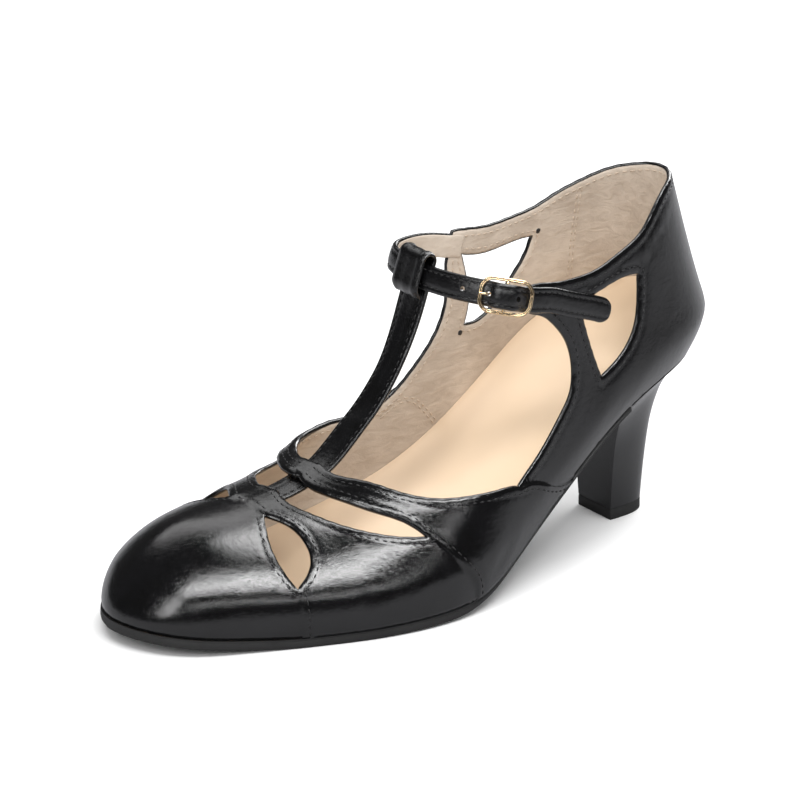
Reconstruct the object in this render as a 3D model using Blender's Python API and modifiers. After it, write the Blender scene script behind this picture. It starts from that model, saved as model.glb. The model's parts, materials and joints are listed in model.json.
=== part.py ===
"""A left T-strap shoe with a curved heel, one closed solid for each piece.

Metres, +Z up, toe along +X, outer side along +Y. The last is a surface over a flat pattern:
station runs from heel to toe along the feather line, where upper and sole meet, and across
runs from the outer feather line (+1) over the ridge (0) to the inner one (-1).
"""
import math

import bpy
import bmesh
import numpy as np
from mathutils import Vector
from mathutils.geometry import delaunay_2d_cdt

# The last
LENGTH = 0.236
WIDTH = 0.076
HEEL_HEIGHT = 0.057
INSTEP = 0.080
BULGE = 0.010
BULGE_HEIGHT = 0.018

# Sole, heel and insole
SOLE = 0.0035
WAIST_SOLE = 0.0022
SOLE_INSET = 0.0006
TOP_PIECE = 0.0040
HEEL_LENGTH = 0.0177
HEEL_WIDTH = 0.0181
HEEL_FRONT = 0.0373
HEEL_SIDE = 0.0006
BREAST = 0.0440
INSOLE_HEEL = 0.0165
INSOLE_WAIST = 0.0150
INSOLE_TOE = 0.0036
INSOLE_CUP = 0.0025
INSOLE_INSET = 0.0034

# Upper and straps
WALL = 0.0014
STEP = 0.0006
STEP_RUN = 0.0007
STRAP = 0.0020
STRAP_WIDTH = 0.0088
T_STRAP = 0.0018
T_STRAP_WIDTH = 0.0115
T_STRAP_FOLD_WIDTH = 0.0140
T_STRAP_SIDE = -0.0022
HOLE = 0.0014

# Buckle
BUCKLE_LENGTH = 0.0184
BUCKLE_WIRE = 0.0011
BUCKLE_ROOM = 0.0014
BUCKLE_CORNER = 0.0026
BAR_WIRE = 0.0011
PRONG_WIRE = 0.0008

GAP = 0.0003
SPACING = 0.0056
INSOLE_SPACING = 0.009
SOLE_SPACING = 0.008

# A triangle below this area is a stray one along a straight edge
FLAT_AREA = 1e-10

# Outline of the last in plan: share of length, share of width. The toe tip is row TIP.
OUTLINE = [
    (0, 0), (0.035, 0.205), (0.12, 0.34), (0.25, 0.42), (0.40, 0.52), (0.53, 0.64), (0.66, 0.625),
    (0.77, 0.52), (0.87, 0.40), (0.95, 0.27), (1, -0.10), (0.955, -0.335), (0.87, -0.49),
    (0.76, -0.54), (0.66, -0.49), (0.52, -0.375), (0.38, -0.31), (0.24, -0.325), (0.12, -0.315),
    (0.035, -0.215)]
TIP = 10

# Sections: station, feather line as share of HEEL_HEIGHT, ridge above it as share of INSTEP,
# fullness of the crown, fullness of the side, bulge as share of BULGE, inner side's extra fullness
SECTIONS = [
    (0.00, 1.000, 1.670, 1.10, 1.50, 0.69, 1.00),
    (0.10, 0.935, 1.730, 1.30, 1.60, 0.58, 1.00),
    (0.20, 0.800, 1.850, 1.55, 1.70, 0.48, 1.05),
    (0.30, 0.540, 2.000, 1.70, 1.80, 0.37, 1.25),
    (0.40, 0.270, 1.930, 1.75, 1.85, 0.29, 1.70),
    (0.45, 0.155, 1.370, 1.73, 1.90, 0.28, 1.95),
    (0.50, 0.065, 0.985, 1.70, 1.95, 0.28, 1.90),
    (0.60, 0.012, 0.610, 1.72, 2.00, 0.28, 1.75),
    (0.70, 0.000, 0.462, 1.84, 2.00, 0.29, 1.32),
    (0.80, 0.000, 0.425, 2.05, 2.00, 0.29, 1.10),
    (0.90, 0.035, 0.360, 2.15, 2.00, 0.29, 1.03),
    (1.00, 0.080, 0.175, 2.25, 2.00, 0.28, 1.00)]

# Where the ridge starts and ends, as shares of the length
RIDGE_BACK = 0.13
RIDGE_FRONT = 0.86

# Pattern lines of the upper: station, across, and 1 at a corner
COLLAR = [
    (0.402, 0.595, 1), (0.385, 0.630, 0), (0.364, 0.656, 0), (0.330, 0.682, 0), (0.287, 0.698, 0),
    (0.243, 0.710, 0), (0.198, 0.710, 0), (0.147, 0.698, 0), (0.101, 0.666, 0), (0.055, 0.638, 0),
    (0.015, 0.626, 0), (0, 0.622, 0), (0.015, -0.626, 0), (0.045, -0.635, 0), (0.078, -0.648, 0),
    (0.116, -0.666, 0), (0.156, -0.685, 0), (0.195, -0.704, 0), (0.238, -0.714, 0),
    (0.280, -0.725, 0), (0.322, -0.738, 0), (0.352, -0.746, 1), (0.362, -0.797, 1),
    (0.361, -0.848, 0), (0.377, -0.886, 0), (0.412, -0.911, 0), (0.445, -0.905, 0),
    (0.484, -0.855, 0), (0.521, -0.765, 0), (0.550, -0.666, 0), (0.590, -0.530, 0),
    (0.628, -0.390, 0), (0.665, -0.240, 0), (0.696, -0.110, 0), (0.711, 0.000, 0),
    (0.701, 0.120, 0), (0.659, 0.277, 0), (0.612, 0.447, 0), (0.572, 0.560, 0),
    (0.528, 0.660, 0), (0.479, 0.767, 0), (0.434, 0.861, 1), (0.398, 0.880, 0),
    (0.367, 0.880, 0), (0.335, 0.867, 0), (0.316, 0.852, 0), (0.308, 0.828, 0),
    (0.308, 0.800, 0), (0.315, 0.773, 0), (0.332, 0.742, 0), (0.358, 0.706, 0),
    (0.385, 0.665, 0), (0.419, 0.545, 1)]
OUTER_CUT = [
    (0.161, 0.754, 1), (0.171, 0.798, 0), (0.185, 0.834, 0), (0.213, 0.861, 0),
    (0.260, 0.870, 1), (0.270, 0.823, 0), (0.278, 0.779, 0), (0.285, 0.735, 1), (0.220, 0.743, 0)]
INNER_CUT = [
    (0.200, -0.754, 1), (0.270, -0.763, 0), (0.336, -0.779, 1), (0.326, -0.812, 0),
    (0.321, -0.848, 0), (0.329, -0.880, 1), (0.300, -0.874, 0), (0.266, -0.850, 0),
    (0.236, -0.817, 0), (0.213, -0.786, 0)]
SLIT = [
    (0.596, 0.658, 1), (0.626, 0.528, 0), (0.663, 0.409, 0), (0.699, 0.283, 0), (0.737, 0.130, 0),
    (0.750, 0.000, 0), (0.716, -0.164, 0), (0.680, -0.310, 0), (0.650, -0.450, 0),
    (0.620, -0.610, 1), (0.660, -0.530, 0), (0.710, -0.380, 0), (0.755, -0.215, 0),
    (0.790, -0.095, 0), (0.803, 0.010, 0), (0.794, 0.120, 0), (0.764, 0.246, 0),
    (0.721, 0.384, 0), (0.675, 0.503, 0), (0.634, 0.591, 0)]
OUTER_TEAR = [
    (0.838, 0.165, 1), (0.795, 0.295, 0), (0.777, 0.415, 0), (0.773, 0.503, 0), (0.780, 0.590, 0),
    (0.800, 0.679, 1), (0.810, 0.612, 0), (0.822, 0.516, 0), (0.831, 0.415, 0), (0.836, 0.290, 0)]
INNER_TEAR = [
    (0.862, -0.060, 1), (0.822, -0.170, 0), (0.790, -0.275, 0), (0.772, -0.370, 0),
    (0.767, -0.460, 0), (0.775, -0.550, 0), (0.800, -0.640, 1), (0.822, -0.520, 0),
    (0.842, -0.380, 0), (0.856, -0.220, 0)]

# Seams where one panel lies over the next, from the outer feather line to the inner one
CAP_SEAM = [
    (0.795, 1.000, 0), (0.797, 0.780, 0), (0.800, 0.679, 1), (0.838, 0.165, 1), (0.858, 0.060, 0),
    (0.862, -0.060, 1),
    (0.800, -0.640, 1), (0.796, -0.800, 0), (0.795, -1.000, 0)]
VAMP_SEAM = [
    (0.527, 1.000, 0), (0.532, 0.936, 0), (0.553, 0.842, 0), (0.577, 0.742, 0), (0.596, 0.658, 1),
    (0.655, 0.470, 0), (0.710, 0.335, 0), (0.752, 0.190, 0), (0.775, 0.020, 0), (0.752, -0.150, 0),
    (0.700, -0.330, 0), (0.655, -0.490, 0), (0.620, -0.610, 1), (0.596, -0.740, 0),
    (0.575, -0.860, 0), (0.565, -1.000, 0)]
WAIST_SEAM = [
    (0.310, 1.000, 0), (0.350, 0.965, 0), (0.386, 0.924, 0), (0.434, 0.861, 1),
    (0.445, -0.905, 1), (0.410, -0.945, 0), (0.370, -1.000, 0)]

# Middle line of the ankle strap: station, across, lift from the last as share of STRAP
ANKLE_LINE = [
    (0.235, 0.780, 0.65), (0.270, 0.750, 0.65), (0.310, 0.722, 0.65), (0.345, 0.695, 0.65),
    (0.380, 0.655, 0.65), (0.412, 0.565, 0.65), (0.440, 0.400, 0.65), (0.460, 0.200, 0.65),
    (0.467, 0.000, 0.65), (0.465, -0.200, 0.85), (0.455, -0.400, 1.10), (0.445, -0.520, 1.10),
    (0.425, -0.660, 0.70), (0.400, -0.737, 0.15), (0.365, -0.767, -0.50)]
# Places on the ankle strap, as shares of its length from the free end
BUCKLE_AT = 0.372
T_STRAP_AT = 0.675
HOLES_AT = [0.343, 0.416, 0.488]

# Fold of the T-strap over the ankle strap, in half widths of the ankle strap: heights behind it,
# heights in front of it, and the end, with its rise as share of the fold's reach
FOLD_RISE = [-2.3, -1.2, 0.0]
FOLD_FALL = [1.0, 0.0, -1.0]
FOLD_END = [(0.2, -1.55), (0.0, -1.85), (0.0, -2.05)]

# Curved back of the heel: share of height from the top, share of the way in to the top piece
HEEL_CURVE = [
    (0.00, 0.00), (0.08, 0.26), (0.18, 0.50), (0.30, 0.67), (0.43, 0.79), (0.60, 0.88),
    (0.80, 0.95), (1.00, 1.00)]


def bends(knots, values, closed):
    """Second derivatives of a cubic spline through the values."""
    count = len(values)
    gaps = np.diff(knots)
    matrix = np.eye(count)
    right = np.zeros_like(values)
    for row in range(count) if closed else range(1, count - 1):
        before, after = gaps[row - 1], gaps[row]
        matrix[row] = 0
        matrix[row, row - 1] += before
        matrix[row, row] += 2 * (before + after)
        matrix[row, (row + 1) % count] += after
        rise = (values[(row + 1) % count] - values[row]) / after
        right[row] = 6 * (rise - (values[row] - values[row - 1]) / before)
    return np.linalg.solve(matrix, right)


class Spline:
    """A cubic spline through rows of values, with natural ends or closed."""

    def __init__(self, knots, values, closed=False):
        self.knots = np.asarray(knots, float)
        values = np.asarray(values, float)
        self.flat = values.ndim == 1
        self.values = values[:, None] if self.flat else values
        self.closed = closed
        self.bend = bends(self.knots, self.values, closed)

    def __call__(self, place):
        place = np.asarray(place, float)
        first, last = self.knots[0], self.knots[-1]
        if self.closed:
            place = np.mod(place - first, last - first) + first
        place = np.clip(place, first, last)
        low = np.clip(np.searchsorted(self.knots, place, side="right") - 1, 0, len(self.knots) - 2)
        high = (low + 1) % len(self.values)
        gap = (self.knots[low + 1] - self.knots[low])[..., None]
        share = (place[..., None] - self.knots[low][..., None]) / gap
        rest = 1 - share
        result = rest * self.values[low] + share * self.values[high]
        result += ((rest**3 - rest) * self.bend[low] + (share**3 - share) * self.bend[high]) * gap * gap / 6
        return result[..., 0] if self.flat else result


def chord_knots(points):
    """Running distance along the points."""
    steps = np.linalg.norm(np.diff(points, axis=0), axis=1)
    return np.concatenate([[0], np.cumsum(steps)])


outline_points = np.array(OUTLINE + OUTLINE[:1]) * [LENGTH, WIDTH]
outline_knots = chord_knots(outline_points)
outline_knots /= outline_knots[-1]
TIP_TURN = outline_knots[TIP]
outline = Spline(outline_knots, outline_points[:-1], True)
sections = np.array(SECTIONS)
section_lines = [Spline(sections[:, 0] * LENGTH, sections[:, column]) for column in range(1, 7)]


def feather_height(x):
    """Height of the feather line, flat under the ball."""
    return np.maximum(section_lines[0](x), 0) * HEEL_HEIGHT + SOLE


def ridge_height(x):
    return feather_height(x) + section_lines[1](x) * INSTEP


def ridge_side(x):
    """Sideways place of the ridge, which swings inward to the toe."""
    share = np.clip((np.clip(x / LENGTH, 0, 1) - 0.45) / 0.55, 0, 1)
    return OUTLINE[TIP][1] * WIDTH * share * share * (3 - 2 * share)


def ridge_foot(turn):
    """The point of the ridge, in plan, that faces a turn of the outline."""
    x = outline(turn)[..., 0]
    along = LENGTH * (RIDGE_BACK + (RIDGE_FRONT - RIDGE_BACK) * x / LENGTH)
    return np.stack([along, ridge_side(x)], -1)


def last(turn, climb):
    """A point of the last: turn goes round the outline, climb from feather line to ridge."""
    turn = np.asarray(turn, float)
    edge = outline(turn)
    x, y = edge[..., 0], edge[..., 1]
    foot = ridge_foot(turn)
    low = feather_height(x)
    inner = np.where(np.mod(turn, 1) > TIP_TURN, section_lines[5](x), 1.0)
    angle = np.asarray(climb) * math.pi / 2
    inward = 1 - np.clip(np.cos(angle), 0, 1) ** (2 / (section_lines[2](x) * inner))
    upward = np.clip(np.sin(angle), 0, 1) ** (2 / (section_lines[3](x) * inner))
    along = x + (foot[..., 0] - x) * inward
    side = y + (foot[..., 1] - y) * inward
    rise = (ridge_height(along) - low) * upward
    swell = np.sin(math.pi / 2 * np.clip(rise / BULGE_HEIGHT, 0, 1))
    swell *= np.exp(-np.clip(rise - 0.75 * BULGE_HEIGHT, 0, None) / (1.4 * BULGE_HEIGHT))
    swell *= section_lines[4](x) * BULGE
    away = edge - foot
    away /= np.linalg.norm(away, axis=-1, keepdims=True) + 1e-12
    return np.stack([along + away[..., 0] * swell, side + away[..., 1] * swell, low + rise], -1)


def low_climbs(count):
    """Climbs that are closest together near the feather line, where the last is steepest."""
    return np.linspace(0.08, 0.99, count) ** 3


def last_normal(turn, climb):
    """The outward normal of the last."""
    climb = np.clip(climb, 0.004, 0.975)
    step = 0.003
    round_it = last(turn + step, climb) - last(turn - step, climb)
    up_it = last(turn, climb + step) - last(turn, climb - step)
    normal = np.cross(up_it, round_it)
    normal /= np.linalg.norm(normal, axis=-1, keepdims=True) + 1e-12
    return normal


turns = np.linspace(0, 1, 1441)
turn_stations = outline(turns)[:, 0] / LENGTH
outer_turns = turns <= TIP_TURN


def turn_of(station, outer):
    """The turn of the outline at a station, on the outer or inner side."""
    if outer:
        return np.interp(station, turn_stations[outer_turns], turns[outer_turns])
    return np.interp(-station, -turn_stations[~outer_turns], turns[~outer_turns])


def flat(turn, climb):
    """The flat pattern point of a turn and climb."""
    foot = ridge_foot(turn)
    return foot + (outline(turn) - foot) * (1 - np.asarray(climb))[..., None]


def flat_rows(rows):
    """Flat pattern points of rows of station and across."""
    points = []
    for station, across in rows:
        points.append(flat(np.asarray(turn_of(station, across >= 0)), np.asarray(1 - abs(across))))
    return np.array(points)


probe_turns = turns[:-1]
probe_edges = outline(probe_turns)
probe_feet = ridge_foot(probe_turns)


def unflat(points):
    """Turn and climb of flat pattern points."""
    points = np.atleast_2d(points)
    rays = probe_edges - probe_feet
    reach = (rays * rays).sum(-1)
    result = np.zeros((len(points), 2))
    for start in range(0, len(points), 4000):
        block = points[start:start + 4000]
        offset = block[:, None, :] - probe_feet[None]
        cross = rays[None, :, 0] * offset[..., 1] - rays[None, :, 1] * offset[..., 0]
        share = (offset * rays[None]).sum(-1) / reach
        next_cross = np.roll(cross, -1, 1)
        weight = cross / (cross - next_cross + 1e-18)
        ratio = share + (np.roll(share, -1, 1) - share) * weight
        hit = (cross * next_cross <= 0) & (ratio > -0.02) & (ratio < 1.35) & (np.abs(weight) <= 1)
        best = np.where(hit, np.abs(ratio), 9).argmin(1)
        rows = np.arange(len(block))
        result[start:start + 4000, 0] = (probe_turns[best] + weight[rows, best] / len(probe_turns)) % 1
        result[start:start + 4000, 1] = 1 - ratio[rows, best]
    return result


def on_last(points):
    """Points of the last over flat pattern points."""
    where = unflat(points)
    return last(where[:, 0], np.clip(where[:, 1], 0, 1))


def dense(rows, closed):
    """A pattern line as many flat points, smooth between its corners."""
    points = flat_rows([row[:2] for row in rows])
    corners = [index for index, row in enumerate(rows) if row[2]]
    if closed:
        first = corners[0]
        order = [(first + step) % len(rows) for step in range(len(rows) + 1)]
        corners = [order.index(index) for index in corners] + [len(rows)]
    else:
        order = list(range(len(rows)))
        corners = sorted({0, len(rows) - 1} | set(corners))
    points = points[order]
    solid = on_last(points)
    pieces = []
    for low, high in zip(corners, corners[1:]):
        knots = chord_knots(solid[low:high + 1])
        line = Spline(knots, points[low:high + 1])
        pieces.append(line(np.linspace(0, knots[-1], 64 * (high - low) + 1))[:-1])
    if not closed:
        pieces.append(points[-1:])
    return pieces


def spaced(pieces, spacing, closed):
    """Flat points along a pattern line at even steps of true length, with every corner kept."""
    result = []
    for index, piece in enumerate(pieces):
        following = pieces[(index + 1) % len(pieces)]
        if not closed and index == len(pieces) - 1:
            result.append(piece)
            break
        whole = np.vstack([piece, following[:1]])
        run = chord_knots(on_last(whole))
        count = max(1, round(run[-1] / spacing))
        places = np.linspace(0, run[-1], count + 1)[:-1]
        result.append(np.stack([np.interp(places, run, whole[:, axis]) for axis in (0, 1)], 1))
    return np.vstack(result)


def within(points, loop):
    """Which points lie inside a closed loop."""
    inside = np.zeros(len(points), bool)
    following = np.roll(loop, -1, 0)
    for start, end in zip(loop, following):
        if start[1] == end[1]:
            continue
        crosses = (start[1] > points[:, 1]) != (end[1] > points[:, 1])
        reach = (end[0] - start[0]) * (points[:, 1] - start[1]) / (end[1] - start[1]) + start[0]
        inside ^= crosses & (points[:, 0] < reach)
    return inside


def thinned(candidates, solid, kept_solid, spacing):
    """Candidates that keep at least the spacing from each other and from what is kept."""
    cells = {}
    for point in kept_solid:
        cells.setdefault(tuple((point // spacing).astype(int)), []).append(point)
    chosen = []
    around = [(i, j, k) for i in (-1, 0, 1) for j in (-1, 0, 1) for k in (-1, 0, 1)]
    for index, point in enumerate(solid):
        cell = (point // spacing).astype(int)
        near = [other for step in around for other in cells.get(tuple(cell + step), [])]
        if near and min(np.linalg.norm(np.array(near) - point, axis=1)) < spacing * 0.82:
            continue
        chosen.append(index)
        cells.setdefault(tuple(cell), []).append(point)
    return candidates[chosen]


def triangles(loops, lines, inner_points, holes_from):
    """Triangles over flat loops: the first is the edge, those from holes_from on are holes."""
    points = [Vector(point) for loop in loops for point in loop]
    edges = []
    start = 0
    for loop in loops:
        count = len(loop)
        edges += [(start + step, start + (step + 1) % count) for step in range(count)]
        start += count
    for line in lines:
        points += [Vector(point) for point in line]
        edges += [(start + step, start + step + 1) for step in range(len(line) - 1)]
        start += len(line)
    points += [Vector(point) for point in inner_points]
    verts, _, faces = delaunay_2d_cdt(points, edges, [], 0, 1e-7, False)[:3]
    verts = np.array([tuple(vert) for vert in verts])
    faces = np.array([tuple(face) for face in faces])
    first, second, third = verts[faces[:, 0]], verts[faces[:, 1]], verts[faces[:, 2]]
    area = np.abs(np.cross(second - first, third - first))
    middles = (first + second + third) / 3
    keep = (area > FLAT_AREA) & within(middles, loops[0])
    for hole in loops[holes_from:]:
        keep &= ~within(middles, hole)
    return verts, faces[keep]


def clear_scene():
    for item in list(bpy.data.objects):
        bpy.data.objects.remove(item, do_unlink=True)


def material(name, colour, roughness, metallic=0.0):
    """A Principled material of one colour."""
    made = bpy.data.materials.new(name)
    made.use_nodes = True
    shader = made.node_tree.nodes["Principled BSDF"]
    shader.inputs["Base Color"].default_value = (*colour, 1)
    shader.inputs["Roughness"].default_value = roughness
    shader.inputs["Metallic"].default_value = metallic
    made.diffuse_color = (*colour, 1)
    return made


clear_scene()
parts = bpy.data.collections.new("t_strap_shoe")
cutters = bpy.data.collections.new("cutters")
bpy.context.scene.collection.children.link(parts)
bpy.context.scene.collection.children.link(cutters)

# The origin is the middle of the heel's ground face
frame = bpy.data.objects.new("shoe_frame", None)
frame.location = (HEEL_LENGTH / 2 - HEEL_FRONT, -HEEL_SIDE, 0)
parts.objects.link(frame)

LEATHER = (0.010, 0.010, 0.012)


def add_piece(name, verts, faces, look, collection=parts):
    """A named object from points and faces, with its normals pointing outward."""
    mesh = bpy.data.meshes.new(name)
    mesh.from_pydata([tuple(vert) for vert in verts], [], [tuple(map(int, face)) for face in faces])
    shape = bmesh.new()
    shape.from_mesh(mesh)
    loose = [vert for vert in shape.verts if not vert.link_faces]
    bmesh.ops.delete(shape, geom=loose, context="VERTS")
    bmesh.ops.recalc_face_normals(shape, faces=shape.faces)
    shape.to_mesh(mesh)
    shape.free()
    mesh.materials.append(look)
    piece = bpy.data.objects.new(name, mesh)
    piece.parent = frame
    collection.objects.link(piece)
    return piece


def add_shell(name, outer, inner, faces, look):
    """A closed solid between two sheets of the same faces, with walls along their edges."""
    count = len(outer)
    sides = {(int(face[corner]), int(face[(corner + 1) % 3])) for face in faces for corner in range(3)}
    walls = [(start, end, end + count, start + count) for start, end in sorted(sides) if (end, start) not in sides]
    return add_piece(name, np.vstack([outer, inner]), list(faces) + list(faces + count) + walls, look)


def thicken(piece, thickness):
    solid = piece.modifiers.new("wall", "SOLIDIFY")
    solid.thickness = thickness
    solid.offset = 0


# Panels of the upper
def seam_line(rows, shift=0.0):
    """A seam in the flat pattern, moved toward the toe by a shift."""
    line = spaced(dense(rows, False), SPACING, False)
    return line + [shift, 0]


def ahead(points, rows, shift):
    """Which flat points lie on the toe side of a seam."""
    line = np.vstack(dense(rows, False)) + [shift, 0]
    first, final = line[0] * [1, 2], line[-1] * [1, 2]
    toe = [(2 * LENGTH, final[1]), (2 * LENGTH, first[1])]
    return within(points, np.vstack([[first], line, [final], toe]))


def panel_levels(points):
    """How many steps each flat point lies above the toe cap."""
    levels = np.ones(len(points))
    levels[ahead(points, WAIST_SEAM, -STEP_RUN / 2)] = 2
    levels[ahead(points, VAMP_SEAM, STEP_RUN / 2)] = 1
    levels[ahead(points, CAP_SEAM, STEP_RUN / 2)] = 0
    return levels


def seam_pieces(line, holes):
    """The stretches of a seam that lie outside the holes."""
    covered = np.zeros(len(line), bool)
    for hole in holes:
        covered |= within(line, hole)
    stretches, current = [], []
    for point, hidden in zip(line, covered):
        if hidden:
            stretches.append(current)
            current = []
        else:
            current.append(point)
    stretches.append(current)
    return [np.array(stretch) for stretch in stretches if len(stretch) > 1]


def upper_sheet(spacing):
    """Flat points and triangles of the upper, with its openings cut out."""
    edge_turns = np.linspace(0, 1, 2001)
    run = chord_knots(last(edge_turns, 0.0))
    count = round(run[-1] / spacing)
    edge = outline(np.interp(np.linspace(0, run[-1], count + 1)[:-1], run, edge_turns))
    holes = [spaced(dense(rows, True), spacing * 0.8, True)
             for rows in (COLLAR, OUTER_CUT, INNER_CUT, SLIT, OUTER_TEAR, INNER_TEAR)]
    lines = []
    for rows, shift in ((CAP_SEAM, STEP_RUN), (VAMP_SEAM, STEP_RUN), (WAIST_SEAM, -STEP_RUN)):
        lines += seam_pieces(seam_line(rows), holes) + seam_pieces(seam_line(rows, shift), holes)
    fixed = np.vstack([edge] + holes + lines)
    grid_turns, grid_climbs = np.meshgrid(np.linspace(0, 1, 300)[:-1], low_climbs(120))
    candidates = np.stack([grid_turns.ravel(), grid_climbs.ravel()], 1)
    points = flat(candidates[:, 0], candidates[:, 1])
    keep = ~np.any([within(points, hole) for hole in holes], axis=0)
    solid = last(candidates[keep, 0], candidates[keep, 1])
    inner = thinned(points[keep], solid, on_last(fixed), spacing)
    points, faces = triangles([edge] + holes, lines, inner, 1)
    kept = np.array([np.abs(fixed - point).sum(1).min() < 1e-6 for point in points])
    return points, even_faces(on_last(points), faces, kept)


def even_faces(solid, faces, kept):
    """The faces with their inner edges turned to the better shape, except between kept points."""
    shape = bmesh.new()
    verts = [shape.verts.new(point) for point in solid]
    for face in faces:
        shape.faces.new([verts[index] for index in face])
    shape.verts.index_update()
    inner = [edge for edge in shape.edges
             if len(edge.link_faces) == 2 and not all(kept[vert.index] for vert in edge.verts)]
    bmesh.ops.beautify_fill(shape, faces=shape.faces[:], edges=inner, method="ANGLE")
    result = np.array([[vert.index for vert in face.verts] for face in shape.faces])
    shape.free()
    return result


def build_upper():
    points, faces = upper_sheet(SPACING)
    used, faces = np.unique(faces, return_inverse=True)
    faces = faces.reshape(-1, 3)
    points = points[used]
    where = unflat(points)
    where[:, 1] = np.clip(where[:, 1], 0, 1)
    middle = last(where[:, 0], where[:, 1])
    outward = last_normal(where[:, 0], where[:, 1])
    outer = middle + outward * ((panel_levels(points) - 1) * STEP)[:, None]
    outer[:, 2] = np.maximum(outer[:, 2], feather_height(outer[:, 0]))
    add_shell("upper", outer, middle - outward * (WALL + STEP), faces, material("black_leather", LEATHER, 0.22))


# Insole, outsole and heel
def insole_raise(x):
    """Height of the insole's edge above the feather line."""
    share = x / LENGTH
    waist = INSOLE_WAIST - INSOLE_TOE
    heel = INSOLE_HEEL - INSOLE_WAIST
    toward_heel = np.clip((0.30 - share) / 0.15, 0, 1)
    toward_waist = np.clip((0.72 - share) / 0.24, 0, 1)
    return (INSOLE_TOE + waist * toward_waist**2 * (3 - 2 * toward_waist)
            + heel * toward_heel**2 * (3 - 2 * toward_heel))


def insole_ring(edge_turns, level):
    """A ring of the insole inside the wall, at a share of the insole's edge height."""
    climbs = np.append(0, low_climbs(240))
    ring = []
    for turn in edge_turns:
        around = np.full(len(climbs), turn)
        inside = last(around, climbs) - last_normal(around, climbs) * INSOLE_INSET
        floor = feather_height(inside[:, 0]) + level * insole_raise(inside[:, 0])
        climb = np.interp(0, inside[:, 2] - floor, climbs)
        point = last(turn, climb) - last_normal(turn, climb) * INSOLE_INSET
        point[2] = feather_height(point[0]) + level * insole_raise(point[0])
        ring.append(point)
    return np.array(ring)


def plan_fill(loop, spacing):
    """Triangles over a closed loop in plan, whose first points are the loop's own."""
    low, high = loop.min(0), loop.max(0)
    grid = np.stack(np.meshgrid(np.arange(low[0], high[0], spacing), np.arange(low[1], high[1], spacing)), -1)
    grid = grid.reshape(-1, 2)
    grid = grid[within(grid, loop)]
    near = np.linalg.norm(grid[:, None] - loop[None], axis=-1).min(1)
    return triangles([loop], [], grid[near > spacing * 0.55], 1)


def closed_loft(name, rings, top_height, bottom_height, spacing, look):
    """A solid from rings of one count, the last on top, closed by filled faces with given heights."""
    count = len(rings[0])
    verts = [point for ring in rings for point in ring]
    faces = []
    for level in range(len(rings) - 1):
        for step in range(count):
            low, high = level * count, (level + 1) * count
            faces.append((low + step, low + (step + 1) % count, high + (step + 1) % count, high + step))
    for ring, start, height in ((rings[0], 0, bottom_height), (rings[-1], (len(rings) - 1) * count, top_height)):
        points, fill = plan_fill(ring[:, :2], spacing)
        extra = len(verts) - count
        verts += [np.array([x, y, height(x, y)]) for x, y in points[count:]]
        for face in fill:
            faces.append([start + index if index < count else extra + index for index in face])
    return add_piece(name, verts, faces, look)


def build_insole():
    edge_turns = (np.arange(76) + 0.5) / 76
    rings = [insole_ring(edge_turns, level) for level in (0, 0.5, 1)]
    top = rings[-1]
    outer = top[:, 1] > ridge_side(top[:, 0])
    halves = []
    for half, sign in ((top[outer], 1), (top[~outer], -1)):
        order = np.argsort(half[:, 0])
        halves.append((half[order, 0], np.abs(half[order, 1] - ridge_side(half[order, 0]))))

    def top_height(x, y):
        across = y - ridge_side(x)
        places, widths = halves[0] if across > 0 else halves[1]
        share = min(1, abs(across) / max(np.interp(x, places, widths), 1e-6))
        cup = INSOLE_CUP * min(1, insole_raise(x) / INSOLE_HEEL)
        return feather_height(x) + insole_raise(x) - cup * (1 - share * share)

    tan = material("tan_insole", (0.62, 0.44, 0.28), 0.5)
    closed_loft("insole", rings, top_height, lambda x, y: feather_height(x), INSOLE_SPACING, tan)


def sole_thickness(x):
    """Thickness of the outsole, thinner from the waist back."""
    share = np.clip((x / LENGTH - 0.42) / 0.16, 0, 1)
    return WAIST_SOLE + (SOLE - WAIST_SOLE) * share * share * (3 - 2 * share)


def ring_with_breast(front, back, count, cross_count):
    """Turns of the outline from one place to another, then a straight line back across."""
    edge = outline(np.linspace(front, back, count) % 1)
    shares = np.linspace(0, 1, cross_count + 2)[1:-1, None]
    return np.vstack([edge, edge[-1] + (edge[0] - edge[-1]) * shares])


def build_outsole():
    start = turn_of((BREAST + GAP) / LENGTH, True)
    end = turn_of((BREAST + GAP) / LENGTH, False)
    loop = ring_with_breast(start, end, 72, 5)
    middle = np.stack([loop[:, 0], ridge_side(loop[:, 0])], 1)
    inward = middle - loop
    inward /= np.linalg.norm(inward, axis=1, keepdims=True)
    inward[72:] = 0
    inward[[0, 71], 0] = 0
    rings = []
    for depth, inset in ((1, 1.0), (0.8, 0.3), (0, 0.5)):
        ring = loop + inward * inset * SOLE_INSET
        height = feather_height(ring[:, 0]) - depth * sole_thickness(ring[:, 0]) - (1 - depth) * GAP
        rings.append(np.column_stack([ring, np.maximum(height, 0)]))
    rubber = material("black_rubber", (0.012, 0.012, 0.012), 0.55)
    closed_loft("outsole", rings, lambda x, y: feather_height(x) - GAP,
                lambda x, y: max(feather_height(x) - sole_thickness(x), 0), SOLE_SPACING, rubber)


def heel_base(count, cross_count):
    """The D-shaped outline of the heel's ground face, in the order of the heel's top."""
    half = HEEL_WIDTH / 2
    angles = np.linspace(-math.pi / 2, math.pi / 2, count)
    round_back = [(-np.cos(angle) ** 0.75 * HEEL_LENGTH, np.sign(np.sin(angle)) * abs(np.sin(angle)) ** 0.75 * half)
                  for angle in angles]
    loop = np.array(round_back) + [HEEL_FRONT, HEEL_SIDE]
    shares = np.linspace(0, 1, cross_count + 2)[1:-1, None]
    return np.vstack([loop, loop[-1] + (loop[0] - loop[-1]) * shares])


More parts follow.
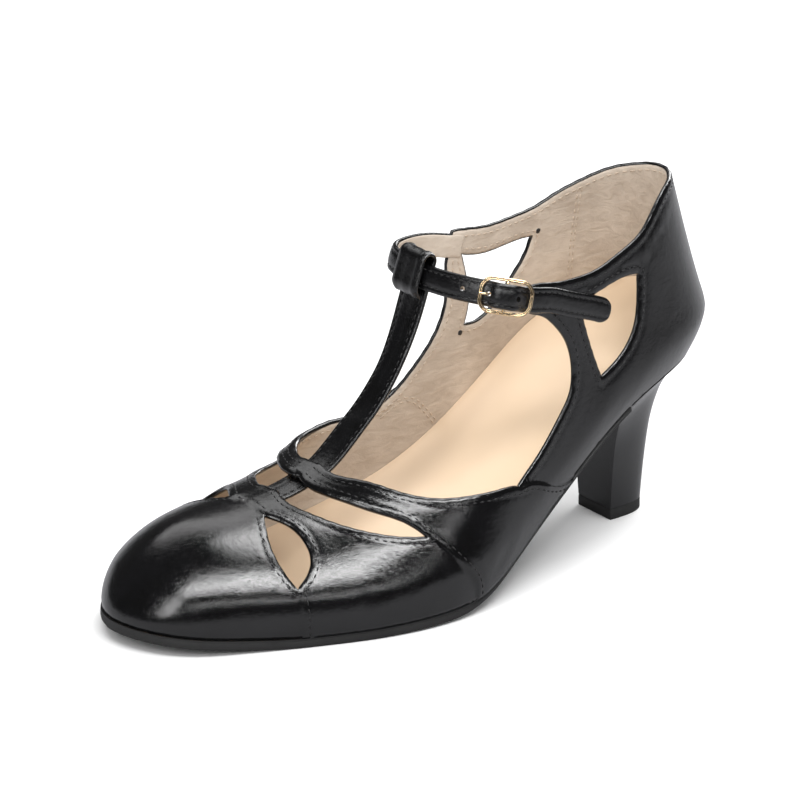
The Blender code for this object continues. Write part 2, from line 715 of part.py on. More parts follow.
def build_heel():
    count, cross_count = 33, 5
    start = turn_of(BREAST / LENGTH, False)
    end = 1 + turn_of(BREAST / LENGTH, True)
    top = ring_with_breast(start, end, count, cross_count)
    base = heel_base(count, cross_count)
    curve = Spline([row[0] for row in HEEL_CURVE], [row[1] for row in HEEL_CURVE])
    top_height = feather_height(top[:, 0]) - GAP
    rings = []
    for depth in (1, 0.85, 0.7, 0.55, 0.42, 0.3, 0.2, 0.12, 0.05, 0):
        inward = curve(depth)
        plan = top + (base - top) * inward
        height = top_height + (TOP_PIECE + GAP - top_height) * depth
        rings.append(np.column_stack([plan, height]))
    black = material("heel_leather", LEATHER, 0.25)
    closed_loft("heel", rings, lambda x, y: feather_height(x) - GAP,
                lambda x, y: TOP_PIECE + GAP, 0.008, black)
    rubber = material("heel_rubber", (0.015, 0.015, 0.015), 0.6)
    lower = np.column_stack([base, np.zeros(len(base))])
    upper = np.column_stack([base, np.full(len(base), TOP_PIECE)])
    closed_loft("heel_top_piece", [lower, upper], lambda x, y: TOP_PIECE, lambda x, y: 0.0, 0.008, rubber)


# Straps
def unit(vectors):
    return vectors / np.linalg.norm(vectors, axis=-1, keepdims=True)


class AnkleLine:
    """The middle line of the ankle strap with its outward and upward directions."""

    def __init__(self):
        rows = np.array(ANKLE_LINE)
        turn = np.array([turn_of(row[0], row[1] >= 0) for row in rows])
        climb = 1 - np.abs(rows[:, 1])
        outward = last_normal(turn, climb)
        points = last(turn, climb) + outward * rows[:, 2:] * STRAP
        knots = chord_knots(points)
        self.length = knots[-1]
        self.points = Spline(knots, points)
        self.outwards = Spline(knots, outward)

    def place(self, run):
        """Point, direction along, outward and upward at a running distance."""
        run = np.asarray(run, float)
        step = self.length * 0.002
        along = unit(self.points(run + step) - self.points(run - step))
        outward = self.outwards(run)
        upward = unit(np.cross(outward, along))
        upward = upward * np.sign(upward[..., 2:])
        outward = np.cross(along, upward)
        outward = outward * np.sign((outward * self.outwards(run)).sum(-1, keepdims=True))
        return self.points(run), along, outward, upward


ankle = AnkleLine()
buckle_run = BUCKLE_AT * ankle.length
half_buckle = (BUCKLE_LENGTH - BUCKLE_WIRE) / 2
rest_height = STRAP / 2 + 3 * GAP + BUCKLE_WIRE / 2


def buckle_axes():
    """Middle, length, outward and height directions of the flat buckle."""
    back, _, back_outward, _ = ankle.place(buckle_run - half_buckle)
    front, _, front_outward, _ = ankle.place(buckle_run + half_buckle)
    back = back + back_outward * rest_height
    front = front + front_outward * rest_height
    along = unit(front - back)
    outward = ankle.place(buckle_run)[2]
    outward = unit(outward - along * (outward @ along))
    return (back + front) / 2, along, outward, np.cross(outward, along)


buckle_middle, buckle_along, buckle_outward, buckle_upward = buckle_axes()
bar_lift = (buckle_middle - ankle.place(buckle_run)[0]) @ buckle_outward
hump = bar_lift + BAR_WIRE / 2 + GAP + STRAP / 2


def hump_at(run):
    """How far the strap rises over the buckle's bar."""
    return hump * np.exp(-((run - buckle_run) / (0.52 * half_buckle)) ** 4)


def strap_point(run, across, lift=0.0):
    """A point of the ankle strap's middle face."""
    point, _, outward, upward = ankle.place(run)
    return point + outward * np.asarray(lift + hump_at(run))[..., None] + upward * np.asarray(across)[..., None]


def circle(middle, radius, count=12):
    angles = np.arange(count) * 2 * math.pi / count
    return np.stack([middle + radius * np.cos(angles), radius * np.sin(angles)], 1)


def build_ankle_strap():
    half = STRAP_WIDTH / 2
    spacing = SPACING * 0.55
    count = round(ankle.length / spacing)
    runs = np.linspace(half, ankle.length, count)
    angles = np.linspace(-math.pi / 2, -3 * math.pi / 2, 11)[1:-1]
    tip = np.stack([half + half * np.cos(angles), half * np.sin(angles)], 1)
    lower = np.stack([runs, np.full(count, -half)], 1)
    upper = np.stack([runs, np.full(count, half)], 1)
    edge = np.vstack([lower, [(ankle.length, 0)], upper[::-1], tip[::-1]])
    holes = [circle(share * ankle.length, HOLE) for share in HOLES_AT]
    grid = np.array([(run, across) for run in np.arange(half, ankle.length, spacing) for across in (-half / 2, 0, half / 2)])
    fixed = np.vstack([edge] + holes)
    near = np.linalg.norm(grid[:, None] - fixed[None], axis=-1).min(1)
    keep = near > spacing * 0.42
    for hole in holes:
        keep &= ~within(grid, hole)
    points, faces = triangles([edge] + holes, [], grid[keep], 1)
    solid = strap_point(points[:, 0], points[:, 1])
    piece = add_piece("ankle_strap", solid, faces, material("strap_leather", LEATHER, 0.22))
    thicken(piece, STRAP)


def ridge_section(station, offset, shares):
    """Points across the ridge at a station, moved along the last's normal by an offset."""
    climbs = np.linspace(0.4, 1, 241)
    points = []
    for share in shares:
        across = share * T_STRAP_WIDTH / 2 + T_STRAP_SIDE
        turn = turn_of(station, across > 0)
        line = last(np.full(241, turn), climbs)
        reach = np.abs(line[:, 1] - line[-1, 1])[::-1]
        climb = np.interp(abs(across), reach, climbs[::-1])
        points.append(last(turn, climb) + last_normal(turn, climb) * offset)
    return np.array(points)


def t_strap_sections(shares):
    """Cross lines of the T-strap from its start under the front band to the end of its fold."""
    under = -(WALL + STEP + 2 * GAP + T_STRAP / 2)
    free = -T_STRAP / 2
    sections_found = []
    for station in np.arange(0.84, 0.53, -0.02):
        share = np.clip((0.71 - station) / 0.10, 0, 1)
        offset = under + (free - under) * share * share * (3 - 2 * share)
        sections_found.append(ridge_section(station, offset, shares))
    across_runs = T_STRAP_AT * ankle.length - shares * T_STRAP_FOLD_WIDTH / 2
    middles, _, outwards, upwards = ankle.place(across_runs)
    inside = STRAP / 2 + 2 * GAP + T_STRAP / 2
    half = STRAP_WIDTH / 2
    room = 3 * GAP
    fold = [(-inside, share * half) for share in FOLD_RISE] + [(-inside, half + room)]
    for angle in np.linspace(150, 30, 5):
        turned = math.radians(angle)
        fold.append((inside * math.cos(turned), half + room + inside * math.sin(turned)))
    fold += [(inside, share * half) for share in FOLD_FALL] + [(0.8 * inside, -half - 2 * GAP)]
    lying = T_STRAP + GAP - inside
    fold += [(lying + share * inside, height * half) for share, height in FOLD_END]
    for out, up in fold:
        sections_found.append(middles + outwards * out + upwards * up)
    return np.array(sections_found)


def build_t_strap():
    shares = np.array([-1, -0.5, 0, 0.5, 1])
    found = t_strap_sections(shares)
    knots = chord_knots(found[:, 2])
    lines = Spline(knots, found.reshape(len(found), -1))
    places = np.concatenate([np.linspace(0, knots[-17], 26)[:-1], np.linspace(knots[-17], knots[-1], 34)])
    grid = lines(places).reshape(-1, 3)
    width = len(shares)
    faces = []
    for row in range(len(places) - 1):
        for column in range(width - 1):
            first = row * width + column
            faces.append((first, first + 1, first + width + 1, first + width))
    piece = add_piece("t_strap", grid, faces, material("t_strap_leather", LEATHER, 0.22))
    thicken(piece, T_STRAP)


# Buckle
def wire(name, points, thickness, closed, look, resolution=2):
    """A round wire along points, as a closed mesh."""
    path = bpy.data.curves.new(name, "CURVE")
    path.dimensions = "3D"
    path.bevel_depth = thickness / 2
    path.bevel_resolution = resolution
    path.use_fill_caps = not closed
    run = path.splines.new("POLY")
    run.points.add(len(points) - 1)
    for spot, point in zip(run.points, points):
        spot.co = (*point, 1)
    run.use_cyclic_u = closed
    holder = bpy.data.objects.new(name, path)
    parts.objects.link(holder)
    bpy.context.view_layer.update()
    mesh = bpy.data.meshes.new_from_object(holder.evaluated_get(bpy.context.evaluated_depsgraph_get()))
    bpy.data.objects.remove(holder)
    shape = bmesh.new()
    shape.from_mesh(mesh)
    bmesh.ops.remove_doubles(shape, verts=shape.verts, dist=1e-6)
    shape.to_mesh(mesh)
    shape.free()
    mesh.materials.clear()
    mesh.materials.append(look)
    piece = bpy.data.objects.new(name, mesh)
    piece.parent = frame
    parts.objects.link(piece)
    return piece


def buckle_point(along, outward, upward=0.0):
    return buckle_middle + buckle_along * along + buckle_outward * outward + buckle_upward * upward


def build_buckle():
    gold = material("gold_buckle", (0.83, 0.62, 0.32), 0.22, 1.0)
    half_height = STRAP_WIDTH / 2 + BUCKLE_ROOM / 2 + BUCKLE_WIRE / 2
    loop = []
    for sign_x, sign_y, start in ((1, 1, 0), (-1, 1, 90), (-1, -1, 180), (1, -1, 270)):
        for angle in np.linspace(start, start + 90, 6):
            turned = math.radians(angle)
            loop.append(buckle_point(sign_x * (half_buckle - BUCKLE_CORNER) + BUCKLE_CORNER * math.cos(turned), 0,
                                     sign_y * (half_height - BUCKLE_CORNER) + BUCKLE_CORNER * math.sin(turned)))
    rim = wire("buckle_frame", loop, BUCKLE_WIRE, True, gold)
    reach = half_height + BUCKLE_WIRE * 0.2
    bar = wire("buckle_bar_cutter", [buckle_point(0, 0, -reach), buckle_point(0, 0, reach)], BAR_WIRE, False, gold)
    parts.objects.unlink(bar)
    cutters.objects.link(bar)
    bar.hide_viewport = True
    bar.hide_render = True
    bar.display_type = "WIRE"
    join = rim.modifiers.new("bar", "BOOLEAN")
    join.operation = "UNION"
    join.solver = "EXACT"
    join.object = bar

    hole_run = HOLES_AT[1] * ankle.length
    below = STRAP / 2 + 2 * GAP + PRONG_WIRE / 2
    path = [strap_point(run, 0, -below) for run in
            np.linspace(buckle_run + BAR_WIRE / 2 + GAP + PRONG_WIRE / 2, hole_run - PRONG_WIRE * 0.3, 8)]
    path += [strap_point(hole_run, 0, lift) for lift in (-0.6 * below, 0, 0.7 * below)]
    over = BUCKLE_WIRE / 2 + GAP + PRONG_WIRE / 2
    for along in (half_buckle - 1.5 * BUCKLE_WIRE, half_buckle, half_buckle + BUCKLE_WIRE / 2):
        path.append(buckle_point(along, over))
    wire("buckle_prong", path, PRONG_WIRE, False, gold)


build_outsole()
build_heel()
build_insole()
build_upper()
build_t_strap()
build_ankle_strap()
build_buckle()
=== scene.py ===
"""Looks of a left T-strap shoe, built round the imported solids.

The last is a surface over a flat pattern: station runs from heel to toe along the feather line,
where upper and sole meet, and across runs from the outer feather line (+1) over the ridge (0)
to the inner one (-1). Lengths are in metres.
"""
import json
import math

import bpy
import bmesh
import numpy as np
from mathutils import Matrix, Vector
from mathutils.geometry import delaunay_2d_cdt
from mathutils.kdtree import KDTree

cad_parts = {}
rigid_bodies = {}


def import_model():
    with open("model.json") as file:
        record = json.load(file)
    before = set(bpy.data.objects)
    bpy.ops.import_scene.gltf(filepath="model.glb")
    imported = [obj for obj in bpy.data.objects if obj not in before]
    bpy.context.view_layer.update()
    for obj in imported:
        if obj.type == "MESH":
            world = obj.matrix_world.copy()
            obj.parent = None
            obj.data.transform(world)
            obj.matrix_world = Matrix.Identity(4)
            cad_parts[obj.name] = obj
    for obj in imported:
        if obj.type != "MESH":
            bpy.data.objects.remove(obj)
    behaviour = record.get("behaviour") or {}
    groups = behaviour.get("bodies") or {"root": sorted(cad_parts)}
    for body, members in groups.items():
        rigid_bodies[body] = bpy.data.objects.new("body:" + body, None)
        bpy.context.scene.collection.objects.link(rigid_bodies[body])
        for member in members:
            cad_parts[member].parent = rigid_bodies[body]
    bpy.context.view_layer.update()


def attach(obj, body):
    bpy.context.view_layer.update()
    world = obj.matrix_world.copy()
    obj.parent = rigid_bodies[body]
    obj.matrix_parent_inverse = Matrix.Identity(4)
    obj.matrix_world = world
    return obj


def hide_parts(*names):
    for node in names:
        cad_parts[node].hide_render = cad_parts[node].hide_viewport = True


for item in list(bpy.data.objects):
    bpy.data.objects.remove(item, do_unlink=True)
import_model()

# The last
LENGTH = 0.236
WIDTH = 0.076
HEEL_HEIGHT = 0.057
INSTEP = 0.080
BULGE = 0.010
BULGE_HEIGHT = 0.018

# Sole, heel and insole
SOLE = 0.0035
WAIST_SOLE = 0.0022
SOLE_INSET = 0.0006
TOP_PIECE = 0.0040
HEEL_LENGTH = 0.0177
HEEL_WIDTH = 0.0181
HEEL_FRONT = 0.0373
HEEL_SIDE = 0.0006
BREAST = 0.0440
INSOLE_HEEL = 0.0165
INSOLE_WAIST = 0.0150
INSOLE_TOE = 0.0036
INSOLE_CUP = 0.0025
INSOLE_INSET = 0.0021

# Upper and straps
WALL = 0.0014
STEP = 0.0006
STEP_RUN = 0.0007
STRAP = 0.0020
STRAP_WIDTH = 0.0088
T_STRAP = 0.0018
T_STRAP_WIDTH = 0.0115
T_STRAP_FOLD_WIDTH = 0.0140
T_STRAP_SIDE = -0.0022

# Buckle
BUCKLE_LENGTH = 0.0184
BUCKLE_WIRE = 0.0011
BUCKLE_ROOM = 0.0014
BUCKLE_ROUND = 0.0040
BAR_WIRE = 0.0011
PRONG_WIRE = 0.0008

GAP = 0.0003
FLAT_AREA = 1e-12

# Linings and the hidden end of the ankle strap
LINING = 0.0005
LINING_HALF = 0.0002
STRAP_TAIL = 0.0018

# Mesh of the upper: FINE between points, CLOSE in the rows beside an edge, TREE_STEP between points
# of the lines that it measures from, the rows' distances from the edge, the height, place and width
# of the rolled edge, the depth and width of its fall and of the groove under the stitches, and the
# faces round a rim less one
FINE = 0.0021
CLOSE = 0.0009
TREE_STEP = 0.0004
EDGE_ROWS = [0.0005, 0.0010, 0.0016, 0.0021, 0.0026, 0.0034]
ROLL = 0.00016
ROLL_AT = 0.0009
ROLL_WIDE = 0.0006
DROOP = 0.00045
DROOP_WIDE = 0.00035
GROOVE = 0.00020
GROOVE_WIDE = 0.00042
RIM_STEPS = 4

# Stitches: length, space between two, thread radius, distance of their lines from an edge of the
# upper and of a strap, and between points of those lines
STITCH = 0.0019
STITCH_GAP = 0.0008
THREAD = 0.00030
STITCH_IN = 0.0021
STRAP_STITCH_IN = 0.0018
STITCH_SAMPLES = 0.0008

# Bar tacks: distance from their corner in the flat pattern, half length, space between threads
TACK_AT = 0.012
TACK_HALF = 0.0011
TACK_GAP = 0.0004

# Face of the straps: depth and width of the groove under the stitches, height, place and width of
# the padding beside it, and the radius of the punched holes
STRAP_GROOVE = 0.00026
STRAP_GROOVE_WIDE = 0.0005
PAD = 0.00022
PAD_AT = 0.0040
PAD_WIDE = 0.0020
PUNCH = 0.0008

# Fold of the T-strap over the ankle strap: how far it follows the ankle strap's curve, where it
# starts in half widths of the ankle strap, and its tail as drop inward and fall below the strap
FOLD_BEND = 0.6
FOLD_START = 1.2
FOLD_TAIL = [(0.0003, 0.0010), (0.0009, 0.0018), (0.0017, 0.0026), (0.0023, 0.0034)]

# Camera: what it looks at, its azimuth, elevation and distance, focal length and middle of the
# picture in pixels of the photo
TARGET = np.array([0.09155, -0.0006, 0.050])
CAMERA_AT = (53.772063, 21.693481, 2.1)
FOCAL = 6194.104
MIDDLE = (402.252, 430.485)
PHOTO = 800
SENSOR = 36

# Floor and world as seen straight on, and as seen in reflections, where the floor's grey is painted shade
FLOOR = (0.93, 0.93, 0.93, 1)
FLOOR_PAINTED_SHADE_IN_REFLECTIONS = (0.26, 0.26, 0.27, 1)
WORLD = 0.55
WORLD_REFLECTED = 0.045

# Softboxes round the target: name, azimuth, elevation, distance, width, height, power
SOFTBOXES = [
    ("key", 62, 66, 1.3, 1.2, 0.32, 11), ("side", 112, 60, 1.3, 0.4, 0.3, 2),
    ("top", 255, 48, 1.5, 1.2, 0.6, 3), ("strip", 68, 34, 1.3, 1.3, 0.06, 2.2),
    ("back", 195, 62, 1.4, 0.7, 0.7, 9), ("rim", 205, 22, 1.6, 0.5, 0.9, 8),
    ("front", 15, 30, 1.4, 0.25, 0.8, 4)]

# From the last's own place to the frame, whose origin is the middle of the heel's ground face
SHIFT = np.array([HEEL_LENGTH / 2 - HEEL_FRONT, -HEEL_SIDE, 0])

# Outline of the last in plan: share of length, share of width. The toe tip is row TIP.
OUTLINE = [
    (0, 0), (0.035, 0.205), (0.12, 0.34), (0.25, 0.42), (0.40, 0.52), (0.53, 0.64), (0.66, 0.625),
    (0.77, 0.52), (0.87, 0.40), (0.95, 0.27), (1, -0.10), (0.955, -0.335), (0.87, -0.49),
    (0.76, -0.54), (0.66, -0.49), (0.52, -0.375), (0.38, -0.31), (0.24, -0.325), (0.12, -0.315),
    (0.035, -0.215)]
TIP = 10

# Sections: station, feather line as share of HEEL_HEIGHT, ridge above it as share of INSTEP,
# fullness of the crown, fullness of the side, bulge as share of BULGE, inner side's extra fullness
SECTIONS = [
    (0.00, 1.000, 1.670, 1.10, 1.50, 0.69, 1.00),
    (0.10, 0.935, 1.730, 1.30, 1.60, 0.58, 1.00),
    (0.20, 0.800, 1.850, 1.55, 1.70, 0.48, 1.05),
    (0.30, 0.540, 2.000, 1.70, 1.80, 0.37, 1.25),
    (0.40, 0.270, 1.930, 1.75, 1.85, 0.29, 1.70),
    (0.45, 0.155, 1.370, 1.73, 1.90, 0.28, 1.95),
    (0.50, 0.065, 0.985, 1.70, 1.95, 0.28, 1.90),
    (0.60, 0.012, 0.610, 1.72, 2.00, 0.28, 1.75),
    (0.70, 0.000, 0.462, 1.84, 2.00, 0.29, 1.32),
    (0.80, 0.000, 0.425, 2.05, 2.00, 0.29, 1.10),
    (0.90, 0.035, 0.360, 2.15, 2.00, 0.29, 1.03),
    (1.00, 0.080, 0.175, 2.25, 2.00, 0.28, 1.00)]

# Where the ridge starts and ends, as shares of the length
RIDGE_BACK = 0.13
RIDGE_FRONT = 0.86

# Pattern lines of the upper: station, across, and 1 at a corner
COLLAR = [
    (0.402, 0.595, 1), (0.385, 0.630, 0), (0.364, 0.656, 0), (0.330, 0.682, 0), (0.287, 0.698, 0),
    (0.243, 0.710, 0), (0.198, 0.710, 0), (0.147, 0.698, 0), (0.101, 0.666, 0), (0.055, 0.638, 0),
    (0.015, 0.626, 0), (0, 0.622, 0), (0.015, -0.626, 0), (0.045, -0.635, 0), (0.078, -0.648, 0),
    (0.116, -0.666, 0), (0.156, -0.685, 0), (0.195, -0.704, 0), (0.238, -0.714, 0),
    (0.280, -0.725, 0), (0.322, -0.738, 0), (0.352, -0.746, 1), (0.362, -0.797, 1),
    (0.361, -0.848, 0), (0.377, -0.886, 0), (0.412, -0.911, 0), (0.445, -0.905, 0),
    (0.484, -0.855, 0), (0.521, -0.765, 0), (0.550, -0.666, 0), (0.590, -0.530, 0),
    (0.628, -0.390, 0), (0.665, -0.240, 0), (0.696, -0.110, 0), (0.711, 0.000, 0),
    (0.701, 0.120, 0), (0.659, 0.277, 0), (0.612, 0.447, 0), (0.572, 0.560, 0),
    (0.528, 0.660, 0), (0.479, 0.767, 0), (0.434, 0.861, 1), (0.398, 0.880, 0),
    (0.367, 0.880, 0), (0.335, 0.867, 0), (0.316, 0.852, 0), (0.308, 0.828, 0),
    (0.308, 0.800, 0), (0.315, 0.773, 0), (0.332, 0.742, 0), (0.358, 0.706, 0),
    (0.385, 0.665, 0), (0.419, 0.545, 1)]
OUTER_CUT = [
    (0.161, 0.754, 1), (0.171, 0.798, 0), (0.185, 0.834, 0), (0.213, 0.861, 0),
    (0.260, 0.870, 1), (0.270, 0.823, 0), (0.278, 0.779, 0), (0.285, 0.735, 1), (0.220, 0.743, 0)]
INNER_CUT = [
    (0.200, -0.754, 1), (0.270, -0.763, 0), (0.336, -0.779, 1), (0.326, -0.812, 0),
    (0.321, -0.848, 0), (0.329, -0.880, 1), (0.300, -0.874, 0), (0.266, -0.850, 0),
    (0.236, -0.817, 0), (0.213, -0.786, 0)]
SLIT = [
    (0.596, 0.658, 1), (0.626, 0.528, 0), (0.663, 0.409, 0), (0.699, 0.283, 0), (0.737, 0.130, 0),
    (0.750, 0.000, 0), (0.716, -0.164, 0), (0.680, -0.310, 0), (0.650, -0.450, 0),
    (0.620, -0.610, 1), (0.660, -0.530, 0), (0.710, -0.380, 0), (0.755, -0.215, 0),
    (0.790, -0.095, 0), (0.803, 0.010, 0), (0.794, 0.120, 0), (0.764, 0.246, 0),
    (0.721, 0.384, 0), (0.675, 0.503, 0), (0.634, 0.591, 0)]
OUTER_TEAR = [
    (0.838, 0.165, 1), (0.795, 0.295, 0), (0.777, 0.415, 0), (0.773, 0.503, 0), (0.780, 0.590, 0),
    (0.800, 0.679, 1), (0.810, 0.612, 0), (0.822, 0.516, 0), (0.831, 0.415, 0), (0.836, 0.290, 0)]
INNER_TEAR = [
    (0.862, -0.060, 1), (0.822, -0.170, 0), (0.790, -0.275, 0), (0.772, -0.370, 0),
    (0.767, -0.460, 0), (0.775, -0.550, 0), (0.800, -0.640, 1), (0.822, -0.520, 0),
    (0.842, -0.380, 0), (0.856, -0.220, 0)]

# Seams where one panel lies over the next, from the outer feather line to the inner one
CAP_SEAM = [
    (0.795, 1.000, 0), (0.797, 0.780, 0), (0.800, 0.679, 1), (0.838, 0.165, 1), (0.858, 0.060, 0),
    (0.862, -0.060, 1),
    (0.800, -0.640, 1), (0.796, -0.800, 0), (0.795, -1.000, 0)]
VAMP_SEAM = [
    (0.527, 1.000, 0), (0.532, 0.936, 0), (0.553, 0.842, 0), (0.577, 0.742, 0), (0.596, 0.658, 1),
    (0.655, 0.470, 0), (0.710, 0.335, 0), (0.752, 0.190, 0), (0.775, 0.020, 0), (0.752, -0.150, 0),
    (0.700, -0.330, 0), (0.655, -0.490, 0), (0.620, -0.610, 1), (0.596, -0.740, 0),
    (0.575, -0.860, 0), (0.565, -1.000, 0)]
WAIST_SEAM = [
    (0.310, 1.000, 0), (0.350, 0.965, 0), (0.386, 0.924, 0), (0.434, 0.861, 1),
    (0.445, -0.905, 1), (0.410, -0.945, 0), (0.370, -1.000, 0)]

# Middle line of the ankle strap from its free end: station, across, lift from the last as share
# of STRAP
ANKLE_LINE = [
    (0.235, 0.780, 0.65), (0.270, 0.750, 0.65), (0.310, 0.722, 0.65), (0.345, 0.695, 0.65),
    (0.380, 0.655, 0.65), (0.412, 0.565, 0.65), (0.440, 0.400, 0.65), (0.460, 0.200, 0.65),
    (0.467, 0.000, 0.65), (0.465, -0.200, 0.85), (0.455, -0.400, 1.10), (0.445, -0.520, 1.10),
    (0.425, -0.660, 0.70), (0.400, -0.737, 0.15), (0.365, -0.767, -0.50)]
# Places on the ankle strap, as shares of its length from the free end
BUCKLE_AT = 0.372
T_STRAP_AT = 0.675
HOLES_AT = [0.343, 0.416, 0.488]

# Seams of the lining on the inner side, at the heel and at the waist, written as the lines above
HEEL_LINING = [(0.112, -0.672, 0), (0.126, -0.760, 0), (0.136, -0.880, 0)]
VAMP_LINING = [(0.474, -0.896, 0), (0.425, -0.940, 0), (0.377, -0.978, 0)]

# Holes of the upper. Its seams: line, side of the line with the stitches, level of the panel on
# that side, and how far the step runs along the shoe
HOLE_ROWS = [COLLAR, OUTER_CUT, INNER_CUT, SLIT, OUTER_TEAR, INNER_TEAR]
SEAMS = [(CAP_SEAM, -1, 1, STEP_RUN), (VAMP_SEAM, -1, 2, STEP_RUN), (WAIST_SEAM, 1, 2, -STEP_RUN)]

# Creases of the leather: station and across at both ends, depth, width
CREASES = [
    (0.560, 0.800, 0.535, 0.930, 0.00022, 0.0026), (0.600, 0.860, 0.640, 0.960, 0.00018, 0.0024),
    (0.455, 0.900, 0.500, 0.955, 0.00020, 0.0028), (0.520, -0.900, 0.560, -0.965, 0.00022, 0.0028),
    (0.640, -0.780, 0.660, -0.930, 0.00018, 0.0024), (0.180, 0.900, 0.260, 0.955, 0.00016, 0.0030),
    (0.120, -0.880, 0.220, -0.960, 0.00016, 0.0030), (0.700, 0.760, 0.720, 0.930, 0.00016, 0.0024),
    (0.158, 0.745, 0.120, 0.705, -0.00040, 0.0011), (0.124, 0.708, 0.060, 0.672, -0.00035, 0.0011)]

# Edge of the outsole: share of its thickness from the top, share of SOLE_INSET inward
SOLE_EDGE = [
    (1, 1.3), (0.93, 0.4), (0.75, -0.1), (0.35, -0.1), (0.22, 0.35), (0.16, 0.4), (0.08, 0.15),
    (0, 0.2)]

# Edge of the top piece: height, share of its width and length
TOP_PIECE_EDGE = [
    (0, 0.985), (0.0003, 1.0), (TOP_PIECE - 0.0004, 1.0), (TOP_PIECE - 0.0001, 0.99),
    (TOP_PIECE, 0.98)]

# Curved back of the heel: share of height from the top, share of the way in to the top piece
HEEL_CURVE = [
    (0.00, 0.00), (0.08, 0.26), (0.18, 0.50), (0.30, 0.67), (0.43, 0.79), (0.60, 0.88),
    (0.80, 0.95), (1.00, 1.00)]


def bends(knots, values, closed):
    """Second derivatives of a cubic spline through the values."""
    count = len(values)
    gaps = np.diff(knots)
    matrix = np.eye(count)
    right = np.zeros_like(values)
    for row in range(count) if closed else range(1, count - 1):
        before, after = gaps[row - 1], gaps[row]
        matrix[row] = 0
        matrix[row, row - 1] += before
        matrix[row, row] += 2 * (before + after)
        matrix[row, (row + 1) % count] += after
        rise = (values[(row + 1) % count] - values[row]) / after
        right[row] = 6 * (rise - (values[row] - values[row - 1]) / before)
    return np.linalg.solve(matrix, right)


class Spline:
    """A cubic spline through rows of values, with natural ends or closed."""

    def __init__(self, knots, values, closed=False):
        self.knots = np.asarray(knots, float)
        values = np.asarray(values, float)
        self.flat = values.ndim == 1
        self.values = values[:, None] if self.flat else values
        self.closed = closed
        self.bend = bends(self.knots, self.values, closed)

    def __call__(self, place):
        place = np.asarray(place, float)
        first, last = self.knots[0], self.knots[-1]
        if self.closed:
            place = np.mod(place - first, last - first) + first
        place = np.clip(place, first, last)
        low = np.clip(np.searchsorted(self.knots, place, side="right") - 1, 0, len(self.knots) - 2)
        high = (low + 1) % len(self.values)
        gap = (self.knots[low + 1] - self.knots[low])[..., None]
        share = (place[..., None] - self.knots[low][..., None]) / gap
        rest = 1 - share
        result = rest * self.values[low] + share * self.values[high]
        result += ((rest**3 - rest) * self.bend[low] + (share**3 - share) * self.bend[high]) * gap * gap / 6
        return result[..., 0] if self.flat else result


def between(places, knots, rows):
    """Rows of values at places between the knots, along straight lines."""
    return np.stack([np.interp(places, knots, column) for column in rows.T], -1)


def chord_knots(points):
    """Running distance along the points."""
    steps = np.linalg.norm(np.diff(points, axis=0), axis=1)
    return np.concatenate([[0], np.cumsum(steps)])


outline_points = np.array(OUTLINE + OUTLINE[:1]) * [LENGTH, WIDTH]
outline_knots = chord_knots(outline_points)
outline_knots /= outline_knots[-1]
TIP_TURN = outline_knots[TIP]
outline = Spline(outline_knots, outline_points[:-1], True)
sections = np.array(SECTIONS)
section_lines = [Spline(sections[:, 0] * LENGTH, sections[:, column]) for column in range(1, 7)]


def feather_height(x):
    """Height of the feather line, flat under the ball."""
    return np.maximum(section_lines[0](x), 0) * HEEL_HEIGHT + SOLE


def ridge_height(x):
    return feather_height(x) + section_lines[1](x) * INSTEP


def ridge_side(x):
    """Sideways place of the ridge, which swings inward to the toe."""
    share = np.clip((np.clip(x / LENGTH, 0, 1) - 0.45) / 0.55, 0, 1)
    return OUTLINE[TIP][1] * WIDTH * share * share * (3 - 2 * share)


def ridge_foot(turn):
    """The point of the ridge, in plan, that faces a turn of the outline."""
    x = outline(turn)[..., 0]
    along = LENGTH * (RIDGE_BACK + (RIDGE_FRONT - RIDGE_BACK) * x / LENGTH)
    return np.stack([along, ridge_side(x)], -1)


def last(turn, climb):
    """A point of the last: turn goes round the outline, climb from feather line to ridge."""
    turn = np.asarray(turn, float)
    edge = outline(turn)
    x, y = edge[..., 0], edge[..., 1]
    foot = ridge_foot(turn)
    low = feather_height(x)
    inner = np.where(np.mod(turn, 1) > TIP_TURN, section_lines[5](x), 1.0)
    angle = np.asarray(climb) * math.pi / 2
    inward = 1 - np.clip(np.cos(angle), 0, 1) ** (2 / (section_lines[2](x) * inner))
    upward = np.clip(np.sin(angle), 0, 1) ** (2 / (section_lines[3](x) * inner))
    along = x + (foot[..., 0] - x) * inward
    side = y + (foot[..., 1] - y) * inward
    rise = (ridge_height(along) - low) * upward
    swell = np.sin(math.pi / 2 * np.clip(rise / BULGE_HEIGHT, 0, 1))
    swell *= np.exp(-np.clip(rise - 0.75 * BULGE_HEIGHT, 0, None) / (1.4 * BULGE_HEIGHT))
    swell *= section_lines[4](x) * BULGE
    away = edge - foot
    away /= np.linalg.norm(away, axis=-1, keepdims=True) + 1e-12
    return np.stack([along + away[..., 0] * swell, side + away[..., 1] * swell, low + rise], -1)


def low_climbs(count):
    """Climbs that are closest together near the feather line, where the last is steepest."""
    return np.linspace(0.08, 0.99, count) ** 3


def last_normal(turn, climb):
    """The outward normal of the last."""
    climb = np.clip(climb, 0.004, 0.975)
    step = 0.003
    round_it = last(turn + step, climb) - last(turn - step, climb)
    up_it = last(turn, climb + step) - last(turn, climb - step)
    normal = np.cross(up_it, round_it)
    normal /= np.linalg.norm(normal, axis=-1, keepdims=True) + 1e-12
    return normal


turns = np.linspace(0, 1, 1441)
turn_stations = outline(turns)[:, 0] / LENGTH
outer_turns = turns <= TIP_TURN


def turn_of(station, outer):
    """The turn of the outline at a station, on the outer or inner side."""
    if outer:
        return np.interp(station, turn_stations[outer_turns], turns[outer_turns])
    return np.interp(-station, -turn_stations[~outer_turns], turns[~outer_turns])


